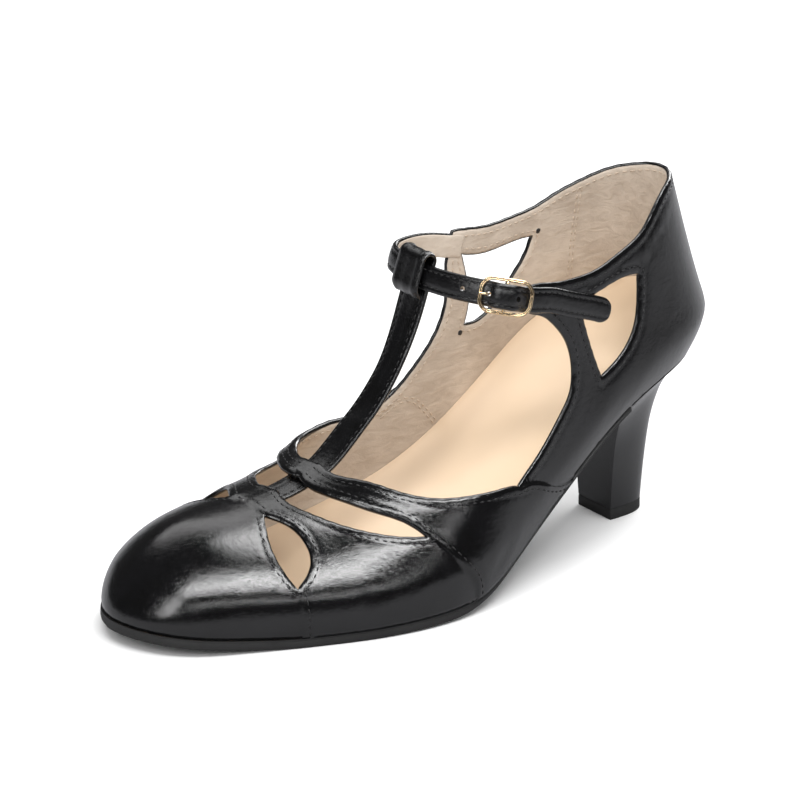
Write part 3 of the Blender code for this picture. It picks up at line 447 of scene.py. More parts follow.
def flat(turn, climb):
    """The flat pattern point of a turn and climb."""
    foot = ridge_foot(turn)
    return foot + (outline(turn) - foot) * (1 - np.asarray(climb))[..., None]


def flat_rows(rows):
    """Flat pattern points of rows of station and across."""
    points = []
    for station, across in rows:
        points.append(flat(np.asarray(turn_of(station, across >= 0)), np.asarray(1 - abs(across))))
    return np.array(points)


probe_turns = turns[:-1]
probe_edges = outline(probe_turns)
probe_feet = ridge_foot(probe_turns)


def unflat(points):
    """Turn and climb of flat pattern points."""
    points = np.atleast_2d(points)
    rays = probe_edges - probe_feet
    reach = (rays * rays).sum(-1)
    result = np.zeros((len(points), 2))
    for start in range(0, len(points), 4000):
        block = points[start:start + 4000]
        offset = block[:, None, :] - probe_feet[None]
        cross = rays[None, :, 0] * offset[..., 1] - rays[None, :, 1] * offset[..., 0]
        share = (offset * rays[None]).sum(-1) / reach
        next_cross = np.roll(cross, -1, 1)
        weight = cross / (cross - next_cross + 1e-18)
        ratio = share + (np.roll(share, -1, 1) - share) * weight
        hit = (cross * next_cross <= 0) & (ratio > -0.02) & (ratio < 1.35) & (np.abs(weight) <= 1)
        best = np.where(hit, np.abs(ratio), 9).argmin(1)
        rows = np.arange(len(block))
        result[start:start + 4000, 0] = (probe_turns[best] + weight[rows, best] / len(probe_turns)) % 1
        result[start:start + 4000, 1] = 1 - ratio[rows, best]
    return result


def on_last(points):
    """Points of the last over flat pattern points."""
    where = unflat(points)
    return last(where[:, 0], np.clip(where[:, 1], 0, 1))


def dense(rows, closed):
    """A pattern line as many flat points, smooth between its corners."""
    points = flat_rows([row[:2] for row in rows])
    corners = [index for index, row in enumerate(rows) if row[2]]
    if closed:
        first = corners[0]
        order = [(first + step) % len(rows) for step in range(len(rows) + 1)]
        corners = [order.index(index) for index in corners] + [len(rows)]
    else:
        order = list(range(len(rows)))
        corners = sorted({0, len(rows) - 1} | set(corners))
    points = points[order]
    solid = on_last(points)
    pieces = []
    for low, high in zip(corners, corners[1:]):
        knots = chord_knots(solid[low:high + 1])
        line = Spline(knots, points[low:high + 1])
        pieces.append(line(np.linspace(0, knots[-1], 64 * (high - low) + 1))[:-1])
    if not closed:
        pieces.append(points[-1:])
    return pieces


def spaced(pieces, spacing, closed):
    """Flat points along a pattern line at even steps of true length, with every corner kept."""
    result = []
    for index, piece in enumerate(pieces):
        following = pieces[(index + 1) % len(pieces)]
        if not closed and index == len(pieces) - 1:
            result.append(piece)
            break
        whole = np.vstack([piece, following[:1]])
        run = chord_knots(on_last(whole))
        count = max(1, round(run[-1] / spacing))
        places = np.linspace(0, run[-1], count + 1)[:-1]
        result.append(between(places, run, whole))
    return np.vstack(result)


def within(points, loop):
    """Which points lie inside a closed loop."""
    inside = np.zeros(len(points), bool)
    following = np.roll(loop, -1, 0)
    for start, end in zip(loop, following):
        if start[1] == end[1]:
            continue
        crosses = (start[1] > points[:, 1]) != (end[1] > points[:, 1])
        reach = (end[0] - start[0]) * (points[:, 1] - start[1]) / (end[1] - start[1]) + start[0]
        inside ^= crosses & (points[:, 0] < reach)
    return inside


def thinned(candidates, solid, kept_solid, spacing):
    """Candidates that keep at least the spacing from each other and from what is kept."""
    cells = {}
    for point in kept_solid:
        cells.setdefault(tuple((point // spacing).astype(int)), []).append(point)
    chosen = []
    around = [(i, j, k) for i in (-1, 0, 1) for j in (-1, 0, 1) for k in (-1, 0, 1)]
    for index, point in enumerate(solid):
        cell = (point // spacing).astype(int)
        near = [other for step in around for other in cells.get(tuple(cell + step), [])]
        if near and min(np.linalg.norm(np.array(near) - point, axis=1)) < spacing * 0.82:
            continue
        chosen.append(index)
        cells.setdefault(tuple(cell), []).append(point)
    return candidates[chosen]


def triangles(loops, lines, inner_points, holes_from):
    """Triangles over flat loops: the first is the edge, those from holes_from on are holes."""
    points = [Vector(point) for loop in loops for point in loop]
    edges = []
    start = 0
    for loop in loops:
        count = len(loop)
        edges += [(start + step, start + (step + 1) % count) for step in range(count)]
        start += count
    for line in lines:
        points += [Vector(point) for point in line]
        edges += [(start + step, start + step + 1) for step in range(len(line) - 1)]
        start += len(line)
    points += [Vector(point) for point in inner_points]
    verts, _, faces = delaunay_2d_cdt(points, edges, [], 0, 1e-7, False)[:3]
    verts = np.array([tuple(vert) for vert in verts])
    faces = np.array([tuple(face) for face in faces])
    first, second, third = verts[faces[:, 0]], verts[faces[:, 1]], verts[faces[:, 2]]
    area = np.abs(np.cross(second - first, third - first))
    middles = (first + second + third) / 3
    keep = (area > FLAT_AREA) & within(middles, loops[0])
    for hole in loops[holes_from:]:
        keep &= ~within(middles, hole)
    return verts, faces[keep]


class Tree:
    """Nearest distance to a cloud of points."""

    def __init__(self, points):
        self.tree = KDTree(len(points))
        for index, point in enumerate(points):
            self.tree.insert(point, index)
        self.tree.balance()

    def __call__(self, points):
        return np.array([self.tree.find(point)[2] for point in points])


# Panels of the upper
def ahead(points, rows, shift):
    """Which flat points lie on the toe side of a seam."""
    line = np.vstack(dense(rows, False)) + [shift, 0]
    first, final = line[0] * [1, 2], line[-1] * [1, 2]
    toe = [(2 * LENGTH, final[1]), (2 * LENGTH, first[1])]
    return within(points, np.vstack([[first], line, [final], toe]))


def panel_levels(points):
    """How many steps each flat point lies above the toe cap."""
    levels = np.ones(len(points))
    levels[ahead(points, WAIST_SEAM, -STEP_RUN / 2)] = 2
    levels[ahead(points, VAMP_SEAM, STEP_RUN / 2)] = 1
    levels[ahead(points, CAP_SEAM, STEP_RUN / 2)] = 0
    return levels


def in_holes(points):
    """Which flat points lie in a hole of the upper."""
    return np.any([within(points, hole) for hole in fine_holes], axis=0)


def seam_pieces(line):
    """The stretches of a seam that lie outside the holes."""
    stretches, current = [], []
    for point, hidden in zip(line, in_holes(line)):
        if hidden:
            stretches.append(current)
            current = []
        else:
            current.append(point)
    stretches.append(current)
    return [np.array(stretch) for stretch in stretches if len(stretch) > 1]


def even_faces(solid, faces, kept):
    """The faces with their inner edges turned to the better shape, except between kept points."""
    shape = bmesh.new()
    verts = [shape.verts.new(point) for point in solid]
    for face in faces:
        shape.faces.new([verts[index] for index in face])
    shape.verts.index_update()
    inner = [edge for edge in shape.edges
             if len(edge.link_faces) == 2 and not all(kept[vert.index] for vert in edge.verts)]
    bmesh.ops.beautify_fill(shape, faces=shape.faces[:], edges=inner, method="ANGLE")
    result = np.array([[vert.index for vert in face.verts] for face in shape.faces])
    shape.free()
    return result


def insole_raise(x):
    """Height of the insole's edge above the feather line."""
    share = x / LENGTH
    waist = INSOLE_WAIST - INSOLE_TOE
    heel = INSOLE_HEEL - INSOLE_WAIST
    toward_heel = np.clip((0.30 - share) / 0.15, 0, 1)
    toward_waist = np.clip((0.72 - share) / 0.24, 0, 1)
    return (INSOLE_TOE + waist * toward_waist**2 * (3 - 2 * toward_waist)
            + heel * toward_heel**2 * (3 - 2 * toward_heel))


def insole_ring(edge_turns, level):
    """A ring of the insole inside the wall, at a share of the insole's edge height."""
    climbs = np.append(0, low_climbs(240))
    ring = []
    for turn in edge_turns:
        around = np.full(len(climbs), turn)
        inside = last(around, climbs) - last_normal(around, climbs) * INSOLE_INSET
        floor = feather_height(inside[:, 0]) + level * insole_raise(inside[:, 0])
        climb = np.interp(0, inside[:, 2] - floor, climbs)
        point = last(turn, climb) - last_normal(turn, climb) * INSOLE_INSET
        point[2] = feather_height(point[0]) + level * insole_raise(point[0])
        ring.append(point)
    return np.array(ring)


def sole_thickness(x):
    """Thickness of the outsole, thinner from the waist back."""
    share = np.clip((x / LENGTH - 0.42) / 0.16, 0, 1)
    return WAIST_SOLE + (SOLE - WAIST_SOLE) * share * share * (3 - 2 * share)


def ring_with_breast(front, back, count, cross_count):
    """Turns of the outline from one place to another, then a straight line back across."""
    edge = outline(np.linspace(front, back, count) % 1)
    shares = np.linspace(0, 1, cross_count + 2)[1:-1, None]
    return np.vstack([edge, edge[-1] + (edge[0] - edge[-1]) * shares])


def heel_base(count, cross_count):
    """The D-shaped outline of the heel's ground face, in the order of the heel's top."""
    half = HEEL_WIDTH / 2
    angles = np.linspace(-math.pi / 2, math.pi / 2, count)
    along = -np.cos(angles) ** 0.75 * HEEL_LENGTH
    across = np.sign(np.sin(angles)) * np.abs(np.sin(angles)) ** 0.75 * half
    loop = np.stack([along, across], 1) + [HEEL_FRONT, HEEL_SIDE]
    shares = np.linspace(0, 1, cross_count + 2)[1:-1, None]
    return np.vstack([loop, loop[-1] + (loop[0] - loop[-1]) * shares])


# Straps
def unit(vectors):
    return vectors / np.linalg.norm(vectors, axis=-1, keepdims=True)


class AnkleLine:
    """The middle line of the ankle strap with its outward and upward directions."""

    def __init__(self):
        rows = np.array(ANKLE_LINE)
        turn = np.array([turn_of(row[0], row[1] >= 0) for row in rows])
        climb = 1 - np.abs(rows[:, 1])
        outward = last_normal(turn, climb)
        points = last(turn, climb) + outward * rows[:, 2:] * STRAP
        knots = chord_knots(points)
        self.length = knots[-1]
        self.points = Spline(knots, points)
        self.outwards = Spline(knots, outward)

    def place(self, run):
        """Point, direction along, outward and upward at a running distance."""
        run = np.asarray(run, float)
        step = self.length * 0.002
        along = unit(self.points(run + step) - self.points(run - step))
        outward = self.outwards(run)
        upward = unit(np.cross(outward, along))
        upward = upward * np.sign(upward[..., 2:])
        outward = np.cross(along, upward)
        outward = outward * np.sign((outward * self.outwards(run)).sum(-1, keepdims=True))
        return self.points(run), along, outward, upward


ankle = AnkleLine()
buckle_run = BUCKLE_AT * ankle.length
half_buckle = (BUCKLE_LENGTH - BUCKLE_WIRE) / 2
rest_height = STRAP / 2 + 3 * GAP + BUCKLE_WIRE / 2


def buckle_axes():
    """Middle, length, outward and height directions of the flat buckle."""
    back, _, back_outward, _ = ankle.place(buckle_run - half_buckle)
    front, _, front_outward, _ = ankle.place(buckle_run + half_buckle)
    back = back + back_outward * rest_height
    front = front + front_outward * rest_height
    along = unit(front - back)
    outward = ankle.place(buckle_run)[2]
    outward = unit(outward - along * (outward @ along))
    return (back + front) / 2, along, outward, np.cross(outward, along)


buckle_middle, buckle_along, buckle_outward, buckle_upward = buckle_axes()
bar_lift = (buckle_middle - ankle.place(buckle_run)[0]) @ buckle_outward
hump = bar_lift + BAR_WIRE / 2 + GAP + STRAP / 2


def hump_at(run):
    """How far the strap rises over the buckle's bar."""
    return hump * np.exp(-((run - buckle_run) / (0.52 * half_buckle)) ** 4)


def strap_point(run, across, lift=0.0):
    """A point of the ankle strap's middle face."""
    point, _, outward, upward = ankle.place(run)
    lift = np.asarray(lift + hump_at(run))[..., None]
    return point + outward * lift + upward * np.asarray(across)[..., None]


def ridge_section(station, offset, shares):
    """Points across the ridge at a station, moved along the last's normal by an offset."""
    climbs = np.linspace(0.4, 1, 241)
    points = []
    for share in shares:
        across = share * T_STRAP_WIDTH / 2 + T_STRAP_SIDE
        turn = turn_of(station, across > 0)
        line = last(np.full(len(climbs), turn), climbs)
        reach = np.abs(line[:, 1] - line[-1, 1])[::-1]
        climb = np.interp(abs(across), reach, climbs[::-1])
        points.append(last(turn, climb) + last_normal(turn, climb) * offset)
    return np.array(points)


def t_strap_sections(shares):
    """Cross lines of the T-strap from its start under the front band to its fold."""
    under = -(WALL + STEP + 2 * GAP + T_STRAP / 2)
    free = -T_STRAP / 2
    lines = []
    for station in np.arange(0.84, 0.53, -0.02):
        share = np.clip((0.71 - station) / 0.10, 0, 1)
        offset = under + (free - under) * share * share * (3 - 2 * share)
        lines.append(ridge_section(station, offset, shares))
    return np.array(lines)


def buckle_point(along, outward, upward=0.0):
    """A point of the buckle, from its middle."""
    return buckle_middle + buckle_along * along + buckle_outward * outward + buckle_upward * upward


# Materials
class Nodes:
    """A short way to build a Principled material."""

    def __init__(self, name, colour, roughness, **sockets):
        self.material = bpy.data.materials.new(name)
        self.material.use_nodes = True
        self.tree = self.material.node_tree
        self.shader = self.tree.nodes["Principled BSDF"]
        self.shader.inputs["Base Color"].default_value = (*colour, 1)
        self.shader.inputs["Roughness"].default_value = roughness
        for socket, value in sockets.items():
            self.shader.inputs[socket.replace("_", " ")].default_value = value
        self.place = self.add("ShaderNodeTexCoord").outputs["Object"]

    def add(self, kind, links=(), **values):
        node = self.tree.nodes.new(kind)
        for key, value in values.items():
            if hasattr(node, key):
                setattr(node, key, value)
            else:
                node.inputs[key.replace("_", " ").title()].default_value = value
        for socket, source in dict(links).items():
            self.tree.links.new(source, node.inputs[socket])
        return node

    def stretched(self, scale):
        return self.add("ShaderNodeMapping", {"Vector": self.place}, Scale=scale).outputs[0]

    def noise(self, scale, detail=3.0, roughness=0.6, vector=None, distortion=0.0):
        node = self.add("ShaderNodeTexNoise", {"Vector": vector or self.place})
        settings = {"Scale": scale, "Detail": detail, "Roughness": roughness, "Distortion": distortion}
        for key, value in settings.items():
            node.inputs[key].default_value = value
        return node.outputs["Fac"]

    def cells(self, scale):
        node = self.add("ShaderNodeTexVoronoi", {"Vector": self.place}, feature="DISTANCE_TO_EDGE")
        node.inputs["Scale"].default_value = scale
        node.inputs["Randomness"].default_value = 1.0
        return node.outputs["Distance"]

    def spread(self, source, low, high, out_low, out_high):
        node = self.add("ShaderNodeMapRange", {"Value": source})
        for key, value in (("From Min", low), ("From Max", high), ("To Min", out_low), ("To Max", out_high)):
            node.inputs[key].default_value = value
        return node.outputs[0]

    def sum(self, first, second, weight=1.0):
        node = self.add("ShaderNodeMath", {0: second, 2: first}, operation="MULTIPLY_ADD")
        node.inputs[1].default_value = weight
        return node.outputs[0]

    def tint(self, source, dark, light):
        node = self.add("ShaderNodeMix", {0: source}, data_type="RGBA")
        node.inputs[6].default_value = (*dark, 1)
        node.inputs[7].default_value = (*light, 1)
        self.tree.links.new(node.outputs[2], self.shader.inputs["Base Color"])

    def rough(self, source):
        self.tree.links.new(source, self.shader.inputs["Roughness"])

    def relief(self, *layers):
        """Bump from layers of height source and depth in metres, one over the other."""
        normal = None
        for height, depth in layers:
            node = self.add("ShaderNodeBump", {"Height": height})
            node.inputs["Distance"].default_value = depth
            if normal:
                self.tree.links.new(normal, node.inputs["Normal"])
            normal = node.outputs[0]
        self.tree.links.new(normal, self.shader.inputs["Normal"])
        if "Coat Normal" in self.shader.inputs:
            self.tree.links.new(normal, self.shader.inputs["Coat Normal"])


def leather_look(name, crease_scale, depth):
    """Glossy black leather with a fine crinkle and small pores."""
    look = Nodes(name, (0.004, 0.004, 0.005), 0.2, Coat_Weight=0.8, Coat_Roughness=0.07,
                 Specular_IOR_Level=0.5)
    crinkle = look.noise(crease_scale, 5, 0.62, distortion=0.6)
    pores = look.cells(crease_scale * 2.6)
    broad = look.noise(crease_scale * 0.16, 2, 0.5)
    look.tint(look.spread(broad, 0.35, 0.7, 0, 1), (0.0018, 0.0018, 0.002), (0.0036, 0.0036, 0.0042))
    look.rough(look.spread(crinkle, 0.3, 0.7, 0.10, 0.24))
    look.relief((broad, depth * 2.0), (crinkle, depth), (look.spread(pores, 0, 0.25, 0, 1), depth * 0.15))
    return look.material


def lining_look():
    """Soft beige lining with wrinkles along the shoe and a fine nap. Its colour varies in broad patches and
    is painted darker in the wrinkles' hollows and lighter on their ridges, which is painted shade.
    """
    look = Nodes("beige_lining", (0.57, 0.49, 0.41), 0.78, Specular_IOR_Level=0.25, Sheen_Weight=0.15)
    wrinkles = look.noise(420, 4, 0.62, look.stretched((0.30, 1.0, 0.9)), 0.8)
    grain = look.noise(1700, 3, 0.6)
    patches = look.noise(38, 3, 0.6)
    # Real tone in broad patches, plus painted shade from the wrinkles' height: darker in their hollows
    patches_and_wrinkle_shade = look.spread(look.sum(patches, wrinkles, 0.7), 0.65, 1.05, 0, 1)
    look.tint(patches_and_wrinkle_shade, (0.45, 0.375, 0.305), (0.63, 0.55, 0.465))
    look.relief((wrinkles, 0.00032), (grain, 0.00005))
    return look.material


def insole_look():
    look = Nodes("tan_insole", (0.77, 0.60, 0.43), 0.52, Specular_IOR_Level=0.35)
    patches = look.noise(18, 3, 0.55)
    grain = look.noise(1900, 3, 0.6)
    look.tint(look.spread(patches, 0.35, 0.7, 0, 1), (0.73, 0.565, 0.395), (0.81, 0.635, 0.465))
    look.rough(look.spread(patches, 0.3, 0.7, 0.46, 0.58))
    look.relief((patches, 0.0002), (grain, 0.00002))
    return look.material


def rubber_look():
    look = Nodes("black_rubber", (0.014, 0.014, 0.014), 0.5)
    scuffs = look.noise(120, 4, 0.65)
    grain = look.noise(1400, 3, 0.6)
    look.tint(scuffs, (0.010, 0.010, 0.010), (0.024, 0.024, 0.024))
    look.rough(look.spread(scuffs, 0.3, 0.7, 0.42, 0.62))
    look.relief((grain, 0.00004))
    return look.material


def gold_look():
    look = Nodes("gold_metal", (0.92, 0.70, 0.44), 0.16, Metallic=1.0)
    scuffs = look.noise(420, 4, 0.6)
    look.tint(scuffs, (0.88, 0.66, 0.40), (0.95, 0.75, 0.49))
    look.rough(look.spread(scuffs, 0.3, 0.7, 0.12, 0.24))
    look.relief((scuffs, 0.00001))
    return look.material


def thread_look(name, dark, light):
    look = Nodes(name, light, 0.42)
    twist = look.noise(2600, 2, 0.5, look.stretched((1, 1, 0.5)))
    # Colour follows the twist's height, lighter on the strands and darker in the grooves: painted shade
    look.tint(twist, dark, light)
    look.relief((twist, 0.00006))
    return look.material


# Meshes
def add_piece(name, verts, faces, look, slot, *nodes):
    """A smooth named piece at its CAD place, which stands for the named nodes."""
    mesh = bpy.data.meshes.new(name)
    verts = np.asarray(verts, float) + SHIFT
    mesh.from_pydata(verts.tolist(), [], [tuple(map(int, face)) for face in faces])
    shape = bmesh.new()
    shape.from_mesh(mesh)
    bmesh.ops.delete(shape, geom=[vert for vert in shape.verts if not vert.link_faces], context="VERTS")
    bmesh.ops.recalc_face_normals(shape, faces=shape.faces)
    for face in shape.faces:
        face.smooth = True
    shape.to_mesh(mesh)
    shape.free()
    mesh.materials.append(look)
    piece = bpy.data.objects.new(name, mesh)
    bpy.context.scene.collection.objects.link(piece)
    bpy.context.view_layer.update()
    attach(piece, "root")
    if nodes:
        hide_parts(*nodes)
    return piece


def soften(piece, angle):
    """Edges stay sharp only where faces meet at more than an angle in degrees."""
    piece.data.set_sharp_from_angle(angle=math.radians(angle))


def rings_faces(count, levels):
    """Faces between closed rings of as many points each."""
    faces = []
    for level in range(levels - 1):
        low, high = level * count, (level + 1) * count
        for step in range(count):
            following = (step + 1) % count
            faces.append((low + step, low + following, high + following, high + step))
    return faces


# The upper
fine_holes = [spaced(dense(rows, True), FINE * 0.62, True) for rows in HOLE_ROWS]
hole_tree = Tree(np.vstack([on_last(spaced(dense(rows, True), TREE_STEP, True)) for rows in HOLE_ROWS]))
seam_trees = []
for seam, _, seam_level, _ in SEAMS:
    seam_trees.append((seam_level, Tree(on_last(spaced(dense(seam, False), TREE_STEP, False)))))


def slopes(points):
    """Points of the last over flat points, and how they move with each flat direction."""
    reach = 0.00025
    here = on_last(points)
    along = (on_last(points + [reach, 0]) - here) / reach
    across = (on_last(points + [0, reach]) - here) / reach
    return here, along, across


def moved(points, closed, distance, side):
    """Flat points moved square to their line over the last, by a true distance."""
    here, along, across = slopes(points)
    if closed:
        tangent = np.roll(here, -1, 0) - np.roll(here, 1, 0)
    else:
        tangent = np.gradient(here, axis=0)
    normal = unit(np.cross(along, across) + 1e-12)
    square = unit(np.cross(normal, tangent) + 1e-12) * side
    goal = here + square * distance
    result = points.copy()
    for _ in range(3):
        now, along, across = slopes(result)
        gap = goal - now
        a, b, c = (along * along).sum(1), (along * across).sum(1), (across * across).sum(1)
        d, e = (along * gap).sum(1), (across * gap).sum(1)
        size = a * c - b * b + 1e-12
        shift = np.stack([(c * d - b * e) / size, (a * e - b * d) / size], 1)
        reach = np.linalg.norm(shift, axis=1, keepdims=True)
        result += shift * np.minimum(1, 0.004 / (reach + 1e-12))
    return result


def crease_depth(solid):
    """Depth of the creases at points of the last."""
    depth = np.zeros(len(solid))
    shares = np.linspace(0, 1, 24)
    for *ends, deep, wide in CREASES:
        start, end = np.array(ends[:2]), np.array(ends[2:])
        line = on_last(flat_rows(start + (end - start) * shares[:, None]))
        low, high = line.min(0) - 4 * wide, line.max(0) + 4 * wide
        near = np.all((solid > low) & (solid < high), axis=1)
        if not near.any():
            continue
        gaps = np.linalg.norm(solid[near][:, None] - line[None], axis=-1)
        fade = np.sin(np.pi * (0.08 + 0.84 * shares[gaps.argmin(1)]))
        far = gaps.min(1) / wide
        depth[near] += deep * fade * (np.exp(-far ** 2) - 0.45 * np.exp(-((far - 1.7) / 0.8) ** 2))
    return depth


def edge_relief(solid, levels):
    """Height of the rounded edge and of the stitched groove beside it."""
    away = hole_tree(solid)
    for level, tree in seam_trees:
        on_top = levels == level
        if on_top.any():
            away[on_top] = np.minimum(away[on_top], tree(solid[on_top]))
    roll = ROLL * np.exp(-((away - ROLL_AT) / ROLL_WIDE) ** 2)
    groove = GROOVE * np.exp(-((away - STITCH_IN) / GROOVE_WIDE) ** 2)
    return roll - groove - DROOP * np.exp(-away / DROOP_WIDE)


def outer_points(points):
    """Points of the outer leather over flat points, their normals and the last under them."""
    where = unflat(points)
    where[:, 1] = np.clip(where[:, 1], 0, 1)
    middle = last(where[:, 0], where[:, 1])
    normal = last_normal(where[:, 0], where[:, 1])
    levels = panel_levels(points)
    relief = edge_relief(middle, levels) - crease_depth(middle)
    fade = np.clip((middle[:, 2] - feather_height(middle[:, 0])) / 0.004, 0, 1)
    lift = (levels - 1) * STEP + relief * fade
    outer = middle + normal * lift[:, None]
    outer[:, 2] = np.maximum(outer[:, 2], feather_height(outer[:, 0]))
    return outer, normal, middle


def fine_sheet():
    """Flat points and triangles of the whole upper."""
    edge_turns = np.linspace(0, 1, 4001)
    run = chord_knots(last(edge_turns, 0.0))
    count = round(run[-1] / FINE)
    edge = outline(np.interp(np.linspace(0, run[-1], count + 1)[:-1], run, edge_turns))
    lines, rows_found = [], []
    for rows, side, _, shift in SEAMS:
        line = spaced(dense(rows, False), FINE * 0.6, False)
        lines += seam_pieces(line) + seam_pieces(line + [shift, 0])
        for turned in (side, -side):
            rows_found += [moved(line, False, distance, turned) for distance in EDGE_ROWS]
    for hole in fine_holes:
        for distance in EDGE_ROWS:
            for side in (1, -1):
                row = moved(hole, True, distance, side)
                rows_found.append(row[~within(row, hole)])
    rows_found = np.vstack(rows_found)
    fixed = np.vstack([edge] + fine_holes + lines)
    turn_grid, climb_grid = np.meshgrid(np.linspace(0, 1, 620)[:-1], low_climbs(230))
    candidates = np.stack([turn_grid.ravel(), climb_grid.ravel()], 1)
    grid = flat(candidates[:, 0], candidates[:, 1])
    covered = in_holes(grid)
    grid = grid[~covered]
    grid_solid = last(candidates[~covered, 0], candidates[~covered, 1])
    rows_found = rows_found[~in_holes(rows_found) & within(rows_found, edge)]
    fixed_solid = on_last(fixed)
    close = thinned(rows_found, on_last(rows_found), fixed_solid, CLOSE)
    middle = thinned(grid, grid_solid, np.vstack([fixed_solid, on_last(close)]), FINE)
    points, faces = triangles([edge] + fine_holes, lines, np.vstack([close, middle]), 1)
    kept_tree = Tree(np.column_stack([fixed, np.zeros(len(fixed))]))
    kept = kept_tree(np.column_stack([points, np.zeros(len(points))])) < 1e-6
    used, faces = np.unique(even_faces(on_last(points), faces, kept), return_inverse=True)
    return points[used], faces.reshape(-1, 3)


def rim(outer, inner, pairs, out_of):
    """A rounded edge between two sheets along boundary pairs, bulging away from the material."""
    verts, faces, at = [], [], {}

    def arc(index):
        if index not in at:
            at[index] = len(verts)
            middle = (outer[index] + inner[index]) / 2
            half = (outer[index] - inner[index]) / 2
            bulge = out_of[index] * np.linalg.norm(half) * 0.75
            for angle in np.linspace(0, math.pi, RIM_STEPS + 2):
                verts.append(middle + half * math.cos(angle) + bulge * math.sin(angle))
        return at[index]

    for start, end in pairs:
        first, second = arc(start), arc(end)
        for step in range(RIM_STEPS + 1):
            faces.append((second + step, second + step + 1, first + step + 1, first + step))
    return np.array(verts), faces


def boundary(faces):
    """Edges with a face on one side only, in the order of that face."""
    sides = {(int(face[corner]), int(face[(corner + 1) % 3])) for face in faces for corner in range(3)}
    return [(start, end) for start, end in sides if (end, start) not in sides]


def edge_directions(pairs, middle, normal, away):
    """Directions out of the sheet at its boundary, and none along the feather line."""
    neighbours = {}
    for start, end in pairs:
        neighbours.setdefault(start, [start, start])[1] = end
        neighbours.setdefault(end, [end, end])[0] = start
    out_of = {}
    for index, (before, after) in neighbours.items():
        direction = np.cross(middle[after] - middle[before], normal[index])
        held = 0.0 if away[index] > 0.0005 else 1.0
        out_of[index] = direction / (np.linalg.norm(direction) + 1e-12) * held
    return out_of


def build_upper():
    """The outer leather, rounded at its edges, and the lining behind it."""
    points, faces = fine_sheet()
    outer, normal, middle = outer_points(points)
    lining_top = middle - normal * (WALL + STEP - LINING)
    lining_face = middle - normal * (WALL + STEP)
    away = hole_tree(middle)
    pairs = boundary(faces)
    out_of = edge_directions(pairs, middle, normal, away)
    arcs, arc_faces = rim(outer, lining_face + normal * 0.0002, pairs, out_of)
    flip = faces[:, ::-1]
    count = len(points)
    verts = np.vstack([outer, lining_top, arcs])
    arc_faces = [tuple(index + 2 * count for index in face) for face in arc_faces]
    shell = list(map(tuple, faces)) + [tuple(face + count) for face in flip] + arc_faces
    piece = add_piece("upper_leather", verts, shell, leather, "black_leather", "upper")
    weld(piece)
    pull = 0.0004 * np.exp(-(away / 0.0004))
    face_in = lining_face + normal * pull[:, None]
    verts = np.vstack([lining_top - normal * 0.00005, face_in])
    walls = [(start, end, end + count, start + count) for start, end in pairs]
    shell = list(map(tuple, faces)) + [tuple(face + count) for face in flip] + walls
    add_piece("upper_lining", verts, shell, lining, "beige_lining")


def weld(piece):
    """Joins points of a piece that lie in the same place."""
    shape = bmesh.new()
    shape.from_mesh(piece.data)
    bmesh.ops.remove_doubles(shape, verts=shape.verts, dist=2e-6)
    bmesh.ops.recalc_face_normals(shape, faces=shape.faces)
    shape.to_mesh(piece.data)
    shape.free()


# Stitches
class Stitches:
    """Short threads collected into one piece."""

    def __init__(self):
        self.verts = []
        self.faces = []

    def add(self, start, end, normal):
        along = end - start
        length = np.linalg.norm(along)
        if length < 1e-6:
            return
        along = along / length
        side = np.cross(normal, along)
        side /= np.linalg.norm(side) + 1e-12
        first = len(self.verts)
        self.verts.append(start - normal * THREAD * 0.6)
        rings = ((0.14, 0.75, -0.1), (0.5, 1.0, 0.35), (0.86, 0.75, -0.1))
        for share, size, rise in rings:
            centre = start + along * length * share + normal * THREAD * rise
            for angle in np.arange(6) * math.pi / 3:
                out = side * math.cos(angle) + normal * math.sin(angle)
                self.verts.append(centre + out * THREAD * size)
        self.verts.append(end - normal * THREAD * 0.6)
        for step in range(6):
            following = (step + 1) % 6
            self.faces.append((first, first + 1 + following, first + 1 + step))
            for ring in range(2):
                low, high = first + 1 + ring * 6, first + 7 + ring * 6
                self.faces.append((low + step, low + following, high + following, high + step))
            self.faces.append((first + 13 + step, first + 13 + following, first + 19))

    def run(self, line, normals):
        """Stitches along a line of points."""
        knots = chord_knots(line)
        count = int(knots[-1] / (STITCH + STITCH_GAP))
        if count < 2:
            return
        pitch = knots[-1] / count
        length = STITCH * pitch / (STITCH + STITCH_GAP)
        for index in range(count):
            start = index * pitch + STITCH_GAP / 2
            places = np.array([start, start + length])
            normal = between(places.mean(), knots, normals)
            self.add(*between(places, knots, line), normal / (np.linalg.norm(normal) + 1e-12))

    def rows(self, points, keep, inside=False):
        """Stitches along the kept stretches of a flat line on the leather or on the lining."""
        outer, normals, middle = outer_points(points)
        if inside:
            outer, normals = middle - normals * (WALL + STEP), -normals
        start = None
        for index in range(len(points) + 1):
            if index < len(points) and keep[index]:
                start = index if start is None else start
            elif start is not None:
                if index - start > 3:
                    self.run(outer[start:index], normals[start:index])
                start = None


def bar_tacks(stitches):
    """Short black bars on the lining beside the corners of the inner cut-out."""
    centre = np.mean(INNER_CUT, axis=0)[:2]
    for row in [row for row in INNER_CUT if row[2]]:
        away = np.array(row[:2]) - centre
        station, across = np.array(row[:2]) + away / np.linalg.norm(away) * TACK_AT
        turn, climb = np.array([turn_of(station, False)]), np.array([1 - abs(across)])
        normal = last_normal(turn, climb)[0]
        place = last(turn, climb)[0] - normal * (WALL + STEP)
        for angle in (0.4, 1.9):
            side = np.cross(normal, [math.cos(angle), 0, math.sin(angle)])
            side /= np.linalg.norm(side)
            half = side * TACK_HALF
            for shift in (-TACK_GAP, 0.0, TACK_GAP):
                middle = np.cross(side, normal) * shift
                stitches.add(place - half + middle, place + half + middle, -normal)


